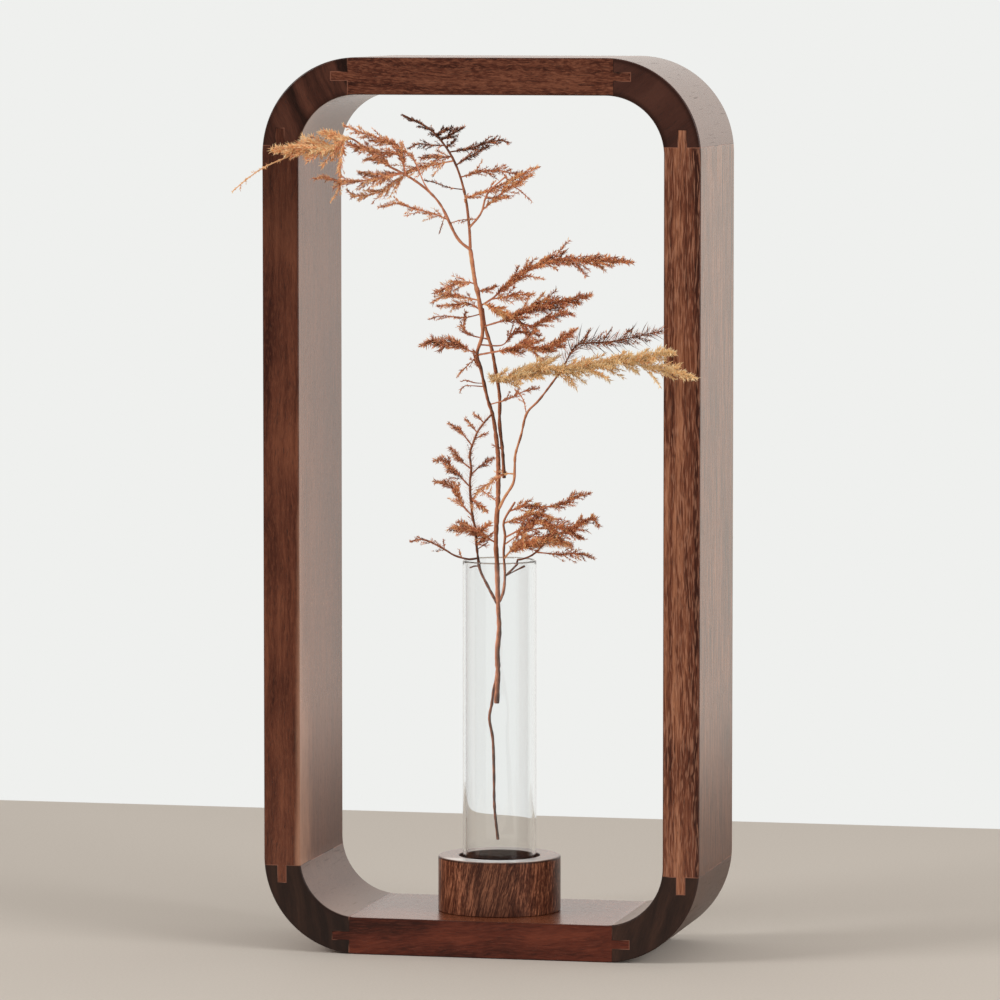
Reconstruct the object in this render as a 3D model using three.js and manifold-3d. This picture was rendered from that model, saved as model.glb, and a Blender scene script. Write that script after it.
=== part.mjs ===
// Wooden vase stand: a standing walnut frame whose bottom rail carries a turned collar, with a
// round-bottomed glass tube in the collar and a dried sprig in the tube.
// Millimetres. X is the width, Y the depth with the front at -Y, and Z is up. The origin is the middle of
// the frame's underside.

import * as THREE from "three";
import { mergeVertices } from "three/addons/utils/BufferGeometryUtils.js";
import Module from "manifold-3d";

// Frame
const frameWidth = 180;
const frameHeight = 363;
const frameDepth = 72;
const boardThickness = 15;
const cornerRadius = 39; // of the outside of the frame
const edgeRounding = 0.8;
const cornerReach = 35.5; // from the frame's side to where a corner block meets a rail or a post
const tongueLength = 7;
const tongueThickness = 3.5;

// Collar
const collarDiameter = 50;
const collarHeight = 22.5;
const socketClearance = 1.5; // between the socket's wall and the tube, all round
const socketDepth = 18.8;
const collarRounding = 0.8;
const collarFootChamfer = 0.4;

// Screws that hold the collar from below
const screwDiameter = 3;
const screwLength = 22;
const screwHeadDiameter = 6;
const screwHeadHeight = 1.7;
const screwHeadSink = 0.4; // below the face that the stand rests on
const screwSlotLength = 3.4;
const screwSlotWidth = 0.7;
const screwSlotDepth = 0.8;
const screwPointLength = 6;

// Glass tube
const tubeDiameter = 30;
const tubeWall = 1.3;
const tubeLength = 139.5;

// Sprig
const stemThick = 1.15; // radii, from the stem's foot to the tips of its twigs
const stemThin = 0.6;
const stemEnd = 0.4;
const twigThick = 0.5;
const twigThin = 0.3;
const leafletSpacing = 6;
const leafletThickness = 0.6;
const leafletAngle = THREE.MathUtils.degToRad(48); // between a leaflet and its twig
const leafletTilt = 0.25; // share of a leaflet's length that it leans out of its frond's plane
const leafletSwell = [0.2, 0.92]; // the part of a half wave that the leaflets' length follows, foot to tip

const fitGap = 0.3; // between pieces that fit into each other

// Counts of faces on round forms
const cornerArcSegments = 6;
const edgeSegments = 2;
const turnedSegments = 48;
const screwSegments = 20;
const bowlSegments = 8;
const lipSegments = 4;
const stemSides = 5;
const twigSides = 3;

const innerCornerRadius = cornerRadius - boardThickness;
const collarRadius = collarDiameter / 2;
const socketRadius = tubeDiameter / 2 + socketClearance;
const socketFloor = boardThickness + collarHeight - socketDepth;
const tubeRadius = tubeDiameter / 2;
const boreRadius = tubeRadius - tubeWall;
const tubeFoot = socketFloor + fitGap;
const rimHeight = tubeFoot + tubeLength;
const screwOffset = (collarRadius + socketRadius) / 2;
const screwRadius = screwDiameter / 2;
const screwHeadRadius = screwHeadDiameter / 2;

const wasm = await Module();
wasm.setup();

// A closed geometry as a solid that can be cut and joined.
function solidOf(geometry) {
  const bare = geometry.clone();
  bare.deleteAttribute("normal");
  bare.deleteAttribute("uv");
  const merged = mergeVertices(bare, 1e-4);
  const mesh = new wasm.Mesh({
    numProp: 3,
    vertProperties: merged.attributes.position.array,
    triVerts: new Uint32Array(merged.index.array),
  });
  return new wasm.Manifold(mesh);
}

// A solid as a geometry, with flat shading so that its edges stay crisp.
function geometryOf(solid) {
  const mesh = solid.getMesh();
  const geometry = new THREE.BufferGeometry();
  geometry.setAttribute("position", new THREE.BufferAttribute(mesh.vertProperties, 3));
  geometry.setIndex(new THREE.BufferAttribute(mesh.triVerts, 1));
  const flat = geometry.toNonIndexed();
  flat.computeVertexNormals();
  return flat;
}

function join(solids) {
  return solids.reduce((whole, piece) => whole.add(piece));
}

// A block between two corners.
function block(low, high) {
  const size = new THREE.Vector3().subVectors(high, low);
  const geometry = new THREE.BoxGeometry(size.x, size.y, size.z);
  const middle = new THREE.Vector3().addVectors(low, high).multiplyScalar(0.5);
  return solidOf(geometry.translate(middle.x, middle.y, middle.z));
}

// A profile of [radius, height] points turned about the Z axis.
function turned(profile, segments) {
  const points = profile.map(([radius, height]) => new THREE.Vector2(radius, height));
  return solidOf(new THREE.LatheGeometry(points, segments).rotateX(Math.PI / 2));
}

// Points of a quarter or shorter arc, as [radius, height], for a turned profile.
function arcPoints(centre, radius, fromAngle, toAngle, segments) {
  return Array.from({ length: segments + 1 }, (_, i) => {
    const angle = fromAngle + ((toAngle - fromAngle) * i) / segments;
    return [centre[0] + radius * Math.cos(angle), centre[1] + radius * Math.sin(angle)];
  });
}

// A rectangle with round corners, centred on X, from the frame's inset to its far side.
function roundedRectangle(target, inset, radius) {
  const side = frameWidth / 2 - inset;
  const low = inset;
  const high = frameHeight - inset;
  target.moveTo(side, low + radius);
  target.lineTo(side, high - radius);
  target.absarc(side - radius, high - radius, radius, 0, Math.PI / 2);
  target.lineTo(-side + radius, high);
  target.absarc(-side + radius, high - radius, radius, Math.PI / 2, Math.PI);
  target.lineTo(-side, low + radius);
  target.absarc(-side + radius, low + radius, radius, Math.PI, 1.5 * Math.PI);
  target.lineTo(side - radius, low);
  target.absarc(side - radius, low + radius, radius, 1.5 * Math.PI, 2 * Math.PI);
  return target;
}

// The whole frame in one piece, standing, with its front and back edges eased.
function frameRing() {
  const outline = roundedRectangle(new THREE.Shape(), 0, cornerRadius);
  outline.holes.push(roundedRectangle(new THREE.Path(), boardThickness, innerCornerRadius));
  const geometry = new THREE.ExtrudeGeometry(outline, {
    depth: frameDepth - 2 * edgeRounding,
    bevelThickness: edgeRounding,
    bevelSize: edgeRounding,
    bevelOffset: -edgeRounding,
    bevelSegments: edgeSegments,
    curveSegments: cornerArcSegments,
  });
  geometry.rotateX(Math.PI / 2);
  return solidOf(geometry.translate(0, frameDepth / 2 - edgeRounding, 0));
}

const ring = frameRing();
const pastFrame = frameDepth; // cutting blocks reach this far past the frame's front and back

// A block that cuts right through the frame's depth, between two opposite corners in the frame's plane.
function throughBlock(fromX, fromZ, toX, toZ) {
  const low = new THREE.Vector3(Math.min(fromX, toX), -pastFrame, Math.min(fromZ, toZ));
  const high = new THREE.Vector3(Math.max(fromX, toX), pastFrame, Math.max(fromZ, toZ));
  return block(low, high);
}

const jointX = frameWidth / 2 - cornerReach; // where the rails end, on either side
const tongueInset = (boardThickness - tongueThickness) / 2; // each side of a tongue
const railLow = { bottom: 0, top: frameHeight - boardThickness };
const jointZ = { bottom: cornerReach, top: frameHeight - cornerReach }; // where the posts end
const outward = { bottom: -1, top: 1 };

// The space of the tongue at one end of a rail. A side is -1 for the left and 1 for the right.
function railTongue(side, level) {
  const low = railLow[level] + tongueInset;
  return throughBlock(side * jointX, low, side * (jointX + tongueLength), low + tongueThickness);
}

// The space of the tongue at one end of a post.
function postTongue(side, level) {
  const outerX = frameWidth / 2 - tongueInset;
  const tipZ = jointZ[level] + outward[level] * tongueLength;
  return throughBlock(side * (outerX - tongueThickness), jointZ[level], side * outerX, tipZ);
}

// A rail between its two corner blocks, with a tongue at each end.
function rail(level) {
  const low = railLow[level];
  const middle = throughBlock(-jointX, low - boardThickness, jointX, low + 2 * boardThickness);
  return ring.intersect(join([middle, railTongue(-1, level), railTongue(1, level)]));
}

// A post between its two corner blocks, with a tongue at each end.
function post(side) {
  const innerX = frameWidth / 2 - 2 * boardThickness;
  const middle = throughBlock(side * innerX, jointZ.bottom, side * frameWidth, jointZ.top);
  return ring.intersect(join([middle, postTongue(side, "bottom"), postTongue(side, "top")]));
}

// A curved corner block, grooved for the tongues of its rail and its post.
function cornerBlock(side, level) {
  const past = jointZ[level] + outward[level] * 2 * cornerReach;
  const corner = throughBlock(side * jointX, jointZ[level], side * frameWidth, past);
  return ring.intersect(corner).subtract(railTongue(side, level)).subtract(postTongue(side, level));
}

// The room that a screw needs, from below the stand up past the screw's point.
function screwHole(x) {
  const radius = screwRadius + fitGap;
  const headRadius = screwHeadRadius + fitGap;
  const below = -boardThickness;
  const neck = screwHeadSink + screwHeadHeight + fitGap;
  const top = screwHeadSink + screwLength + fitGap;
  const profile = [
    [0, below],
    [headRadius, below],
    [headRadius, screwHeadSink],
    [radius, neck],
    [radius, top],
    [0, top],
  ];
  return turned(profile, screwSegments).translate([x, 0, 0]);
}

// A groove of the crossed slot in a screw's head, open downwards.
function screwGroove(lengthX, lengthY) {
  const low = new THREE.Vector3(-lengthX / 2, -lengthY / 2, -screwSlotDepth);
  const high = new THREE.Vector3(lengthX / 2, lengthY / 2, screwHeadSink + screwSlotDepth);
  return block(low, high);
}

// A countersunk wood screw, point up.
function screw(x) {
  const top = screwHeadSink + screwLength;
  const profile = [
    [0, screwHeadSink],
    [screwHeadRadius, screwHeadSink],
    [screwRadius, screwHeadSink + screwHeadHeight],
    [screwRadius, top - screwPointLength],
    [0, top],
  ];
  return turned(profile, screwSegments)
    .subtract(screwGroove(screwSlotLength, screwSlotWidth))
    .subtract(screwGroove(screwSlotWidth, screwSlotLength))
    .translate([x, 0, 0]);
}

// The turned collar on the bottom rail: flat foot, straight wall, rounded rim and the tube's socket.
function collar() {
  const foot = boardThickness;
  const top = foot + collarHeight;
  const roundingCentre = [collarRadius - collarRounding, top - collarRounding];
  const rounding = arcPoints(roundingCentre, collarRounding, 0, Math.PI / 2, edgeSegments);
  const profile = [
    [0, foot],
    [collarRadius - collarFootChamfer, foot],
    [collarRadius, foot + collarFootChamfer],
    ...rounding,
    [socketRadius, top],
    [socketRadius, socketFloor],
    [0, socketFloor],
  ];
  return turned(profile, turnedSegments).subtract(screwHole(-screwOffset)).subtract(screwHole(screwOffset));
}

// The glass tube: a hemisphere for a foot, a straight wall and a rounded rim.
function glassTube() {
  const bowlCentre = [0, tubeFoot + tubeRadius];
  const outerBowl = arcPoints(bowlCentre, tubeRadius, -Math.PI / 2, 0, bowlSegments);
  const innerBowl = arcPoints(bowlCentre, boreRadius, 0, -Math.PI / 2, bowlSegments);
  const lipRadius = tubeWall / 2;
  const lipCentre = [tubeRadius - lipRadius, rimHeight - lipRadius];
  const lip = arcPoints(lipCentre, lipRadius, 0, Math.PI, lipSegments);
  return turned([...outerBowl, ...lip, ...innerBowl], turnedSegments);
}

// The sprig's routes. Each point is [x, y, z] with z measured from the tube's rim, rounded to a millimetre
// where nothing is near. In the tube and over its rim, x and y are for this bore radius and follow the bore.
const routedBore = 13.7;
const rimZone = 3; // above the rim

function routePoint([x, y, z]) {
  const share = z <= rimZone ? boreRadius / routedBore : 1;
  return new THREE.Vector3(x * share, y * share, rimHeight + z);
}

// The point of a rising route at a height, from which a twig sprouts, followed by the twig's own points.
function sprout(host, height, ...rest) {
  const next = host.findIndex((point) => point[2] > height);
  const [low, high] = [host[next - 1], host[next]];
  const share = (height - low[2]) / (high[2] - low[2]);
  const foot = low.map((value, axis) => value + share * (high[axis] - value));
  return [foot, ...rest];
}

const outOfPlane = new THREE.Vector3(0, 1, 0);

// A tapered limb through the points of its route: a ring of corners about each point, and two caps.
function limb(route, startRadius, endRadius, sides) {
  const centres = route.map(routePoint);
  const steps = centres.length - 1;
  const positions = [];
  centres.forEach((centre, i) => {
    const before = centres[Math.max(0, i - 1)];
    const after = centres[Math.min(steps, i + 1)];
    const tangent = new THREE.Vector3().subVectors(after, before).normalize();
    const aside = new THREE.Vector3().crossVectors(tangent, outOfPlane).normalize();
    const upward = new THREE.Vector3().crossVectors(tangent, aside);
    const radius = THREE.MathUtils.lerp(startRadius, endRadius, i / steps);
    for (let j = 0; j < sides; j++) {
      const angle = (2 * Math.PI * j) / sides;
      const point = centre.clone();
      point.addScaledVector(aside, radius * Math.cos(angle));
      point.addScaledVector(upward, radius * Math.sin(angle));
      positions.push(point.x, point.y, point.z);
    }
  });
  const triangles = [];
  for (let i = 0; i < steps; i++) {
    for (let j = 0; j < sides; j++) {
      const here = i * sides + j;
      const beside = i * sides + ((j + 1) % sides);
      triangles.push(here, beside, here + sides, beside, beside + sides, here + sides);
    }
  }
  const last = steps * sides;
  for (let j = 1; j < sides - 1; j++) {
    triangles.push(0, j + 1, j, last, last + j, last + j + 1);
  }
  const geometry = new THREE.BufferGeometry();
  geometry.setAttribute("position", new THREE.Float32BufferAttribute(positions, 3));
  geometry.setIndex(triangles);
  return solidOf(geometry);
}

// A woody stem.
function stem(route, startRadius, endRadius) {
  return limb(route, startRadius, endRadius, stemSides);
}

// A thin twig with leaflets on both sides in turn, the longest near its middle, and none on its bare foot.
function frond(route, spread, bareShare = 0.15) {
  const corners = route.map(routePoint);
  const path = new THREE.CurvePath();
  corners.slice(1).forEach((corner, i) => path.add(new THREE.LineCurve3(corners[i], corner)));
  const leafyShare = 1 - bareShare;
  const count = Math.max(2, Math.floor((path.getLength() * leafyShare) / leafletSpacing) + 1);
  const pieces = [limb(route, twigThick, twigThin, twigSides)];
  for (let i = 0; i < count; i++) {
    const along = bareShare + (leafyShare * (i + 0.5)) / count;
    const tangent = path.getTangent(along);
    const aside = new THREE.Vector3().crossVectors(tangent, outOfPlane).normalize();
    const direction = tangent.multiplyScalar(Math.cos(leafletAngle));
    direction.addScaledVector(aside, i % 2 ? Math.sin(leafletAngle) : -Math.sin(leafletAngle));
    direction.addScaledVector(outOfPlane, i % 3 ? leafletTilt : -leafletTilt);
    const reach = spread * Math.sqrt(Math.sin(Math.PI * THREE.MathUtils.lerp(...leafletSwell, along)));
    const leaflet = new THREE.ConeGeometry(leafletThickness / 2, reach, twigSides);
    leaflet.translate(0, reach / 2, 0);
    leaflet.applyQuaternion(new THREE.Quaternion().setFromUnitVectors(outOfPlane, direction.normalize()));
    const foot = path.getPoint(along);
    pieces.push(solidOf(leaflet.translate(foot.x, foot.y, foot.z)));
  }
  return join(pieces);
}

const stemRoute = [
  [-1, -1, -58.5], [0, -3, -46], [0, -4, -37], [1, -5, -28], [1, -7, -18], [1, -9, -1], [1, -11, 7],
  [2, -14, 18], [3, -16, 26], [4, -20, 41], [4, -22, 48], [3, -25, 60], [1, -27, 68], [-1, -30, 80],
  [-2, -32, 86], [1, -35, 95], [0, -38, 109], [-1, -40, 115], [-2, -44, 128],
];
const thinStemRoute = [
  [-2, 6, -115.5], [-3, 4, -102], [-3, 3, -88], [-3, 1, -74], [-4, -1, -65], [-3, -1, -59],
  [-2, -2, -53], [0, -3, -46],
];
const backStemRoute = [
  [3, -16, 26], [6, -19, 36], [6, -21, 46], [5, -22, 57], [5, -22, 68], [4, -25, 79], [3, -28, 88],
  [1, -30, 96],
];
const leftStemRoute = [
  [1, -7, -18], [-3, -8, -10], [-6, -9, -3], [-7, -11, 6], [-7, -13, 13], [-8, -15, 20], [-8, -19, 32],
  [-7, -21, 38], [-7, -23, 45], [-5, -25, 50], [-3, -27, 54],
];
const rightStemRoute = [
  [1, -7, -17], [3, -7, -13], [4, -8, -6], [4, -10, 4], [5, -12, 11], [5, -14, 17], [10, -16, 25],
];
const longBranchRoute = [
  [2.4, -14.7, 21], [6, -17, 27], [10, -19, 33], [11, -21, 39], [12, -24, 45], [15, -27, 53],
  [18, -30, 62], [24, -33, 68], [34, -38, 80],
];
const crownRoute = [
  [-2, -44, 128], [-2, -46, 137], [-3, -49, 150], [-6, -52, 162], [-11, -54, 171], [-17, -55, 177],
  [-27, -56, 182],
];
const crownLeftRoute = [
  [-2, -44, 128], [-7, -46, 133], [-13, -49, 146], [-19, -52, 153], [-26, -54, 158], [-35, -56, 163],
  [-46, -59, 172],
];
const crownRightRoute = [[-2, -46, 137], [2, -48, 141], [4, -49, 144], [7, -52, 151], [15, -54, 158]];

// The stem that runs from the tube to the crown, with the short fronds that sprout straight from it.
function mainStem() {
  return join([
    stem(stemRoute, stemThick, stemThin),
    stem(thinStemRoute, stemThin, stemThin),
    frond(sprout(stemRoute, 114, [-9, -41, 114], [-17, -42, 111]), 4.5),
    frond(sprout(stemRoute, 108, [-11, -40, 110], [-18, -41, 107]), 4),
    frond(sprout(stemRoute, 104, [-8, -37, 105], [-18, -35, 104]), 3),
    frond(sprout(stemRoute, 99, [-12, -35, 101], [-21, -34, 99]), 3),
    frond(sprout(stemRoute, 86, [-11, -34, 90], [-24, -36, 90]), 4.5),
    frond(sprout(stemRoute, 85, [-8, -29, 81], [-11, -27, 76]), 3),
    frond(sprout(stemRoute, 75, [-5, -31, 74], [-9, -32, 74]), 2.5),
    frond(sprout(stemRoute, 65, [10, -29, 68], [24, -33, 72]), 3.5),
  ]);
}

// The thin stem on the left, whose lowest twig hangs over the tube's rim.
function leftBranch() {
  const hook = [[-10, -11.5, 1], [-16, -12, 2.5], [-20, -13, 5], [-28, -15, 9], [-34, -15, 8]];
  return join([
    stem(leftStemRoute, stemThin, stemEnd),
    frond(sprout(leftStemRoute, 1.5, ...hook), 2.5, 0.55),
    frond(sprout(leftStemRoute, 20, [-15, -17, 28], [-23, -18, 33]), 4),
    frond(sprout(leftStemRoute, 31, [-15, -19, 38], [-23, -20, 42]), 4),
    frond(sprout(leftStemRoute, 38, [-11, -21, 42], [-16, -22, 47]), 3),
    frond(sprout(leftStemRoute, 48, [-11, -24, 54], [-15, -24, 58]), 3),
    frond(sprout(leftStemRoute, 12, [-12, -13, 13], [-18, -13, 14]), 3),
    frond(sprout(leftStemRoute, 36, [-4, -20, 40], [1, -21, 43]), 2.5),
  ]);
}

// The branch on the right, with a twig over the rim and the dense low fronds.
function rightBranch() {
  const hook = [[9, -8.6, -1], [9.6, -9, 1], [11.5, -10.3, 1.3], [18, -13, 4.5], [28, -17, 15]];
  return join([
    stem(rightStemRoute, stemThin, stemEnd),
    frond(sprout(rightStemRoute, -6, ...hook), 2.5, 0.7),
    frond([[18, -13, 4.5], [28, -14, 3.5], [36, -15, 4.5], [42, -15, 3]], 3, 0.3),
    frond(sprout(rightStemRoute, 3.5, [11, -12, 7], [21, -14, 10], [33, -16, 9]), 3.5, 0.3),
    frond(sprout(rightStemRoute, 11, [16, -14, 16], [32, -16, 15], [45, -17, 18]), 5),
    frond(sprout(rightStemRoute, 22, [15, -14, 25], [28, -15, 26], [41, -16, 29]), 4.5),
  ]);
}

// The long branch that rises to the right and ends in the widest, palest frond, in front of the right post.
function longBranch() {
  return join([
    stem(longBranchRoute, stemThin, stemEnd),
    frond([[18, -30, 62], [17, -33, 67], [14, -36, 72]], 2.5),
    frond([[34, -38, 80], [25, -36, 80], [16, -34, 77], [7, -32, 75]], 4, 0.05),
    frond([[34, -38, 80], [43, -40, 81], [58, -45, 84], [69, -49, 87], [82, -54, 91]], 6, 0.05),
    frond([[58, -45, 84], [71, -48, 83], [78, -50, 82], [91, -52, 78]], 5, 0.05),
    frond([[34, -38, 80], [45, -41, 91], [59, -43, 95], [77, -46, 98]], 4, 0.35),
  ]);
}

// The long feathery frond near the top of the stem, on the right.
function highFrond() {
  const arch = [[7, -39, 110], [15, -41, 116], [29, -44, 122], [42, -45, 124], [65, -45, 123]];
  return join([
    frond(sprout(stemRoute, 108, ...arch), 6),
    frond([[7, -39, 110], [17, -40, 109], [24, -42, 110]], 3.5),
    frond([[7, -39, 110], [11, -40, 105], [16, -40, 101]], 3),
  ]);
}

// The forked frond below it.
function middleFrond() {
  return join([
    frond(sprout(stemRoute, 97, [8, -35, 99], [14, -36, 101], [27, -36, 106], [46, -37, 109]), 5),
    frond([[14, -36, 101], [21, -37, 97], [28, -38, 99], [39, -40, 102]], 4, 0.3),
  ]);
}

// The lowest of the three on the right.
function lowFrond() {
  const arch = [[6, -33, 86], [13, -33, 87], [24, -34, 87], [31, -35, 90], [39, -37, 96]];
  return join([
    frond(sprout(stemRoute, 88, ...arch), 4),
    frond([[6, -33, 86], [14, -34, 93], [24, -33, 93]], 3, 0.35),
  ]);
}

// The crown's left arm, whose pale tip passes in front of the left post.
function crownLeft() {
  return join([
    stem(crownLeftRoute, stemThin, stemEnd),
    frond([[-46, -59, 172], [-52, -59, 169], [-66, -60, 168], [-79, -60, 168]], 5, 0.05),
    frond([[-66, -60, 168], [-75, -58, 164], [-88, -58, 157], [-96, -58, 151]], 3.5),
    frond([[-46, -59, 172], [-49, -61, 174], [-55, -61, 175]], 3),
    frond([[-52, -59, 169], [-53, -56, 157], [-57, -55, 147]], 3.5, 0.3),
    frond([[-26, -54, 158], [-41, -55, 156], [-52, -56, 155], [-63, -56, 156]], 3.5),
    frond(sprout(crownLeftRoute, 155, [-28, -56, 165], [-44, -58, 166]), 4, 0.35),
    frond(sprout(crownLeftRoute, 138, [-20, -49, 143], [-31, -51, 146], [-38, -51, 144]), 3.5),
    frond(sprout(crownLeftRoute, 137, [-13, -48, 138], [-14, -47, 132]), 2.5, 0.5),
  ]);
}

// The crown's highest arm, with the darkest fronds, and the arm that leans right.
function crown() {
  const drooping = [[-16, -53, 163], [-27, -51, 159], [-37, -49, 152], [-51, -48, 151]];
  return join([
    stem(crownRoute, stemThin, stemEnd),
    frond(sprout(crownRoute, 176, [-11, -55, 175], [-2, -55, 178]), 3, 0.3),
    frond(sprout(crownRoute, 167, [-1, -54, 169], [8, -55, 171], [16, -55, 170]), 4),
    frond(sprout(crownRoute, 158, [5, -52, 160], [12, -52, 160], [22, -52, 159]), 4.5),
    frond(sprout(crownRoute, 146, [4, -51, 151], [16, -53, 157], [29, -56, 161]), 4),
    frond(sprout(crownRoute, 170, [-18, -54, 169], [-25, -55, 168]), 3),
    frond(sprout(crownRoute, 153, [-10, -51, 155], [-20, -51, 155]), 3),
    frond(sprout(crownRoute, 161, ...drooping), 4.5, 0.2),
    stem(crownRightRoute, stemThin, stemEnd),
    frond(sprout(crownRightRoute, 144, [9, -51, 148], [19, -54, 155], [26, -56, 157]), 3.5, 0.3),
    frond(sprout(crownRightRoute, 152, [20, -54, 152], [25, -53, 147]), 3, 0.3),
    frond(sprout(crownRightRoute, 140, [-4, -47, 140], [-9, -49, 139]), 2.5, 0.3),
  ]);
}

// A sheath round a stem, wider and longer by the fit gap: what grafts onto the stem is cut back to it.
function sheath(route, startRadius, endRadius) {
  const last = new THREE.Vector3(...route.at(-1));
  const ahead = last.clone().sub(new THREE.Vector3(...route.at(-2))).setLength(fitGap);
  const longer = [...route.slice(0, -1), last.add(ahead).toArray()];
  return limb(longer, startRadius + fitGap, endRadius + fitGap, stemSides);
}

const mainSheath = sheath(stemRoute, stemThick, stemThin);
const crownSheath = sheath(crownRoute, stemThin, stemEnd);

// Oiled walnut of one shade.
function walnut(name, colour) {
  return new THREE.MeshStandardMaterial({ name, color: colour, roughness: 0.4, metalness: 0 });
}
const walnutLight = walnut("walnut_light", 0x82503a);
const walnutMiddle = walnut("walnut_middle", 0x643426);
const walnutDark = walnut("walnut_dark", 0x331e18);
const steel = new THREE.MeshStandardMaterial({
  name: "steel",
  color: 0x8f9296,
  roughness: 0.35,
  metalness: 1,
});
const glass = new THREE.MeshStandardMaterial({
  name: "glass",
  color: 0xf4f8f8,
  roughness: 0.05,
  metalness: 0,
  transparent: true,
  opacity: 0.3,
});
const stemBark = new THREE.MeshStandardMaterial({ name: "stem_bark", color: 0x784628, roughness: 0.75 });
const dryLeaf = new THREE.MeshStandardMaterial({ name: "dry_leaf", color: 0x96583c, roughness: 0.85 });
const paleLeaf = new THREE.MeshStandardMaterial({ name: "pale_leaf", color: 0xd6aa6e, roughness: 0.85 });

const stand = new THREE.Group();

function add(name, solid, material) {
  const mesh = new THREE.Mesh(geometryOf(solid), material);
  mesh.name = name;
  stand.add(mesh);
}

const bottomRail = rail("bottom").subtract(screwHole(-screwOffset)).subtract(screwHole(screwOffset));
add("bottom_rail", bottomRail, walnutMiddle);
add("top_rail", rail("top"), walnutMiddle);
add("left_post", post(-1), walnutMiddle);
add("right_post", post(1), walnutLight);
for (const level of ["bottom", "top"]) {
  add(`corner_${level}_left`, cornerBlock(-1, level), walnutDark);
  add(`corner_${level}_right`, cornerBlock(1, level), walnutDark);
}
add("tube_holder", collar(), walnutLight);
add("holder_screw_left", screw(-screwOffset), steel);
add("holder_screw_right", screw(screwOffset), steel);
add("glass_tube", glassTube(), glass);

add("sprig_stem", mainStem(), stemBark);
add("sprig_back_stem", stem(backStemRoute, stemThin, stemEnd).subtract(mainSheath), stemBark);
add("sprig_left_branch", leftBranch().subtract(mainSheath), dryLeaf);
add("sprig_right_branch", rightBranch().subtract(mainSheath), dryLeaf);
add("sprig_long_branch", longBranch().subtract(mainSheath), paleLeaf);
add("sprig_high_frond", highFrond().subtract(mainSheath), dryLeaf);
add("sprig_middle_frond", middleFrond().subtract(mainSheath), dryLeaf);
add("sprig_low_frond", lowFrond().subtract(mainSheath), dryLeaf);
add("sprig_crown", crown().subtract(mainSheath), dryLeaf);
add("sprig_crown_left", crownLeft().subtract(mainSheath).subtract(crownSheath), dryLeaf);

export default stand;
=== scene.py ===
# Wooden vase stand: an oiled walnut frame with a turned collar, a round-bottomed glass tube and a dried
# sprig. Lengths are millimetres until a mesh is filled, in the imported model's frame: X to the right, Y to
# the back and Z up from the underside.

import math

import bmesh
import bpy
import numpy as np
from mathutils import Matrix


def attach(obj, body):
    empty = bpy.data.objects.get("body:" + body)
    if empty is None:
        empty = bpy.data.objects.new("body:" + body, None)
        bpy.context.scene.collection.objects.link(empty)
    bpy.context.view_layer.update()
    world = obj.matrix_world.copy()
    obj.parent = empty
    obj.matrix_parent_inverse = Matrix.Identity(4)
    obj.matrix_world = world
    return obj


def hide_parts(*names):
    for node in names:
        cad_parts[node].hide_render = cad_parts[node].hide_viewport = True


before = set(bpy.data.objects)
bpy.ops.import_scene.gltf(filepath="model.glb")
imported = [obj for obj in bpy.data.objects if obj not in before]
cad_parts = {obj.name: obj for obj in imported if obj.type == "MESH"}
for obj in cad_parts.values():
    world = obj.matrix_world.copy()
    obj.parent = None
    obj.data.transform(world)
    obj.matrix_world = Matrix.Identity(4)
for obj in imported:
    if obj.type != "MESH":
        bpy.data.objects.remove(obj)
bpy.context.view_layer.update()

# Frame
HALF_WIDTH = 90.0
HEIGHT = 363.0
HALF_DEPTH = 36.0
BOARD = 15.0
OUTER_CURVE = 39.0
INNER_CURVE = OUTER_CURVE - BOARD
EDGE_ROUNDING = 0.8
CORNER_REACH = 35.5
TONGUE = 7.0
TONGUE_NEAR = 5.75
TONGUE_FAR = 9.25
SIDE_JOINT = HALF_WIDTH - CORNER_REACH
CURVE_X = HALF_WIDTH - OUTER_CURVE
TOP_CURVE_Z = HEIGHT - OUTER_CURVE
TOP_JOINT = HEIGHT - CORNER_REACH

# Collar, its screws and the tube
COLLAR_RADIUS = 25.0
COLLAR_HEIGHT = 22.5
SOCKET_RADIUS = 16.5
SOCKET_DEPTH = 18.8
COLLAR_TOP = BOARD + COLLAR_HEIGHT
SOCKET_FLOOR = COLLAR_TOP - SOCKET_DEPTH
SCREW_OFFSET = (COLLAR_RADIUS + SOCKET_RADIUS) / 2
SCREW_RADIUS = 1.5
SCREW_HEAD_RADIUS = 3.0
SCREW_HEAD_HEIGHT = 1.7
SCREW_SINK = 0.4
HOLE_GAP = 0.3
HOLE_RADIUS = SCREW_RADIUS + HOLE_GAP
TUBE_RADIUS = 15.0
TUBE_WALL = 1.3
TUBE_FOOT = SOCKET_FLOOR + 0.3
TUBE_LENGTH = 139.5
RIM = TUBE_FOOT + TUBE_LENGTH

MM = 0.001
MERGED_WITHIN = 1e-6
SEED = 11
chance = np.random.default_rng(SEED)


# Shader maths


class Term:
    """A number worked out by a material's nodes. Python's operators on it add the Math nodes."""

    def __init__(self, recipe, socket):
        self.recipe = recipe
        self.socket = socket

    def __add__(self, other):
        return self.recipe.math("ADD", self, other)

    def __radd__(self, other):
        return self.recipe.math("ADD", other, self)

    def __sub__(self, other):
        return self.recipe.math("SUBTRACT", self, other)

    def __rsub__(self, other):
        return self.recipe.math("SUBTRACT", other, self)

    def __mul__(self, other):
        return self.recipe.math("MULTIPLY", self, other)

    def __pow__(self, other):
        return self.recipe.math("POWER", self, other)

    def __abs__(self):
        return self.recipe.math("ABSOLUTE", self)


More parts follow.
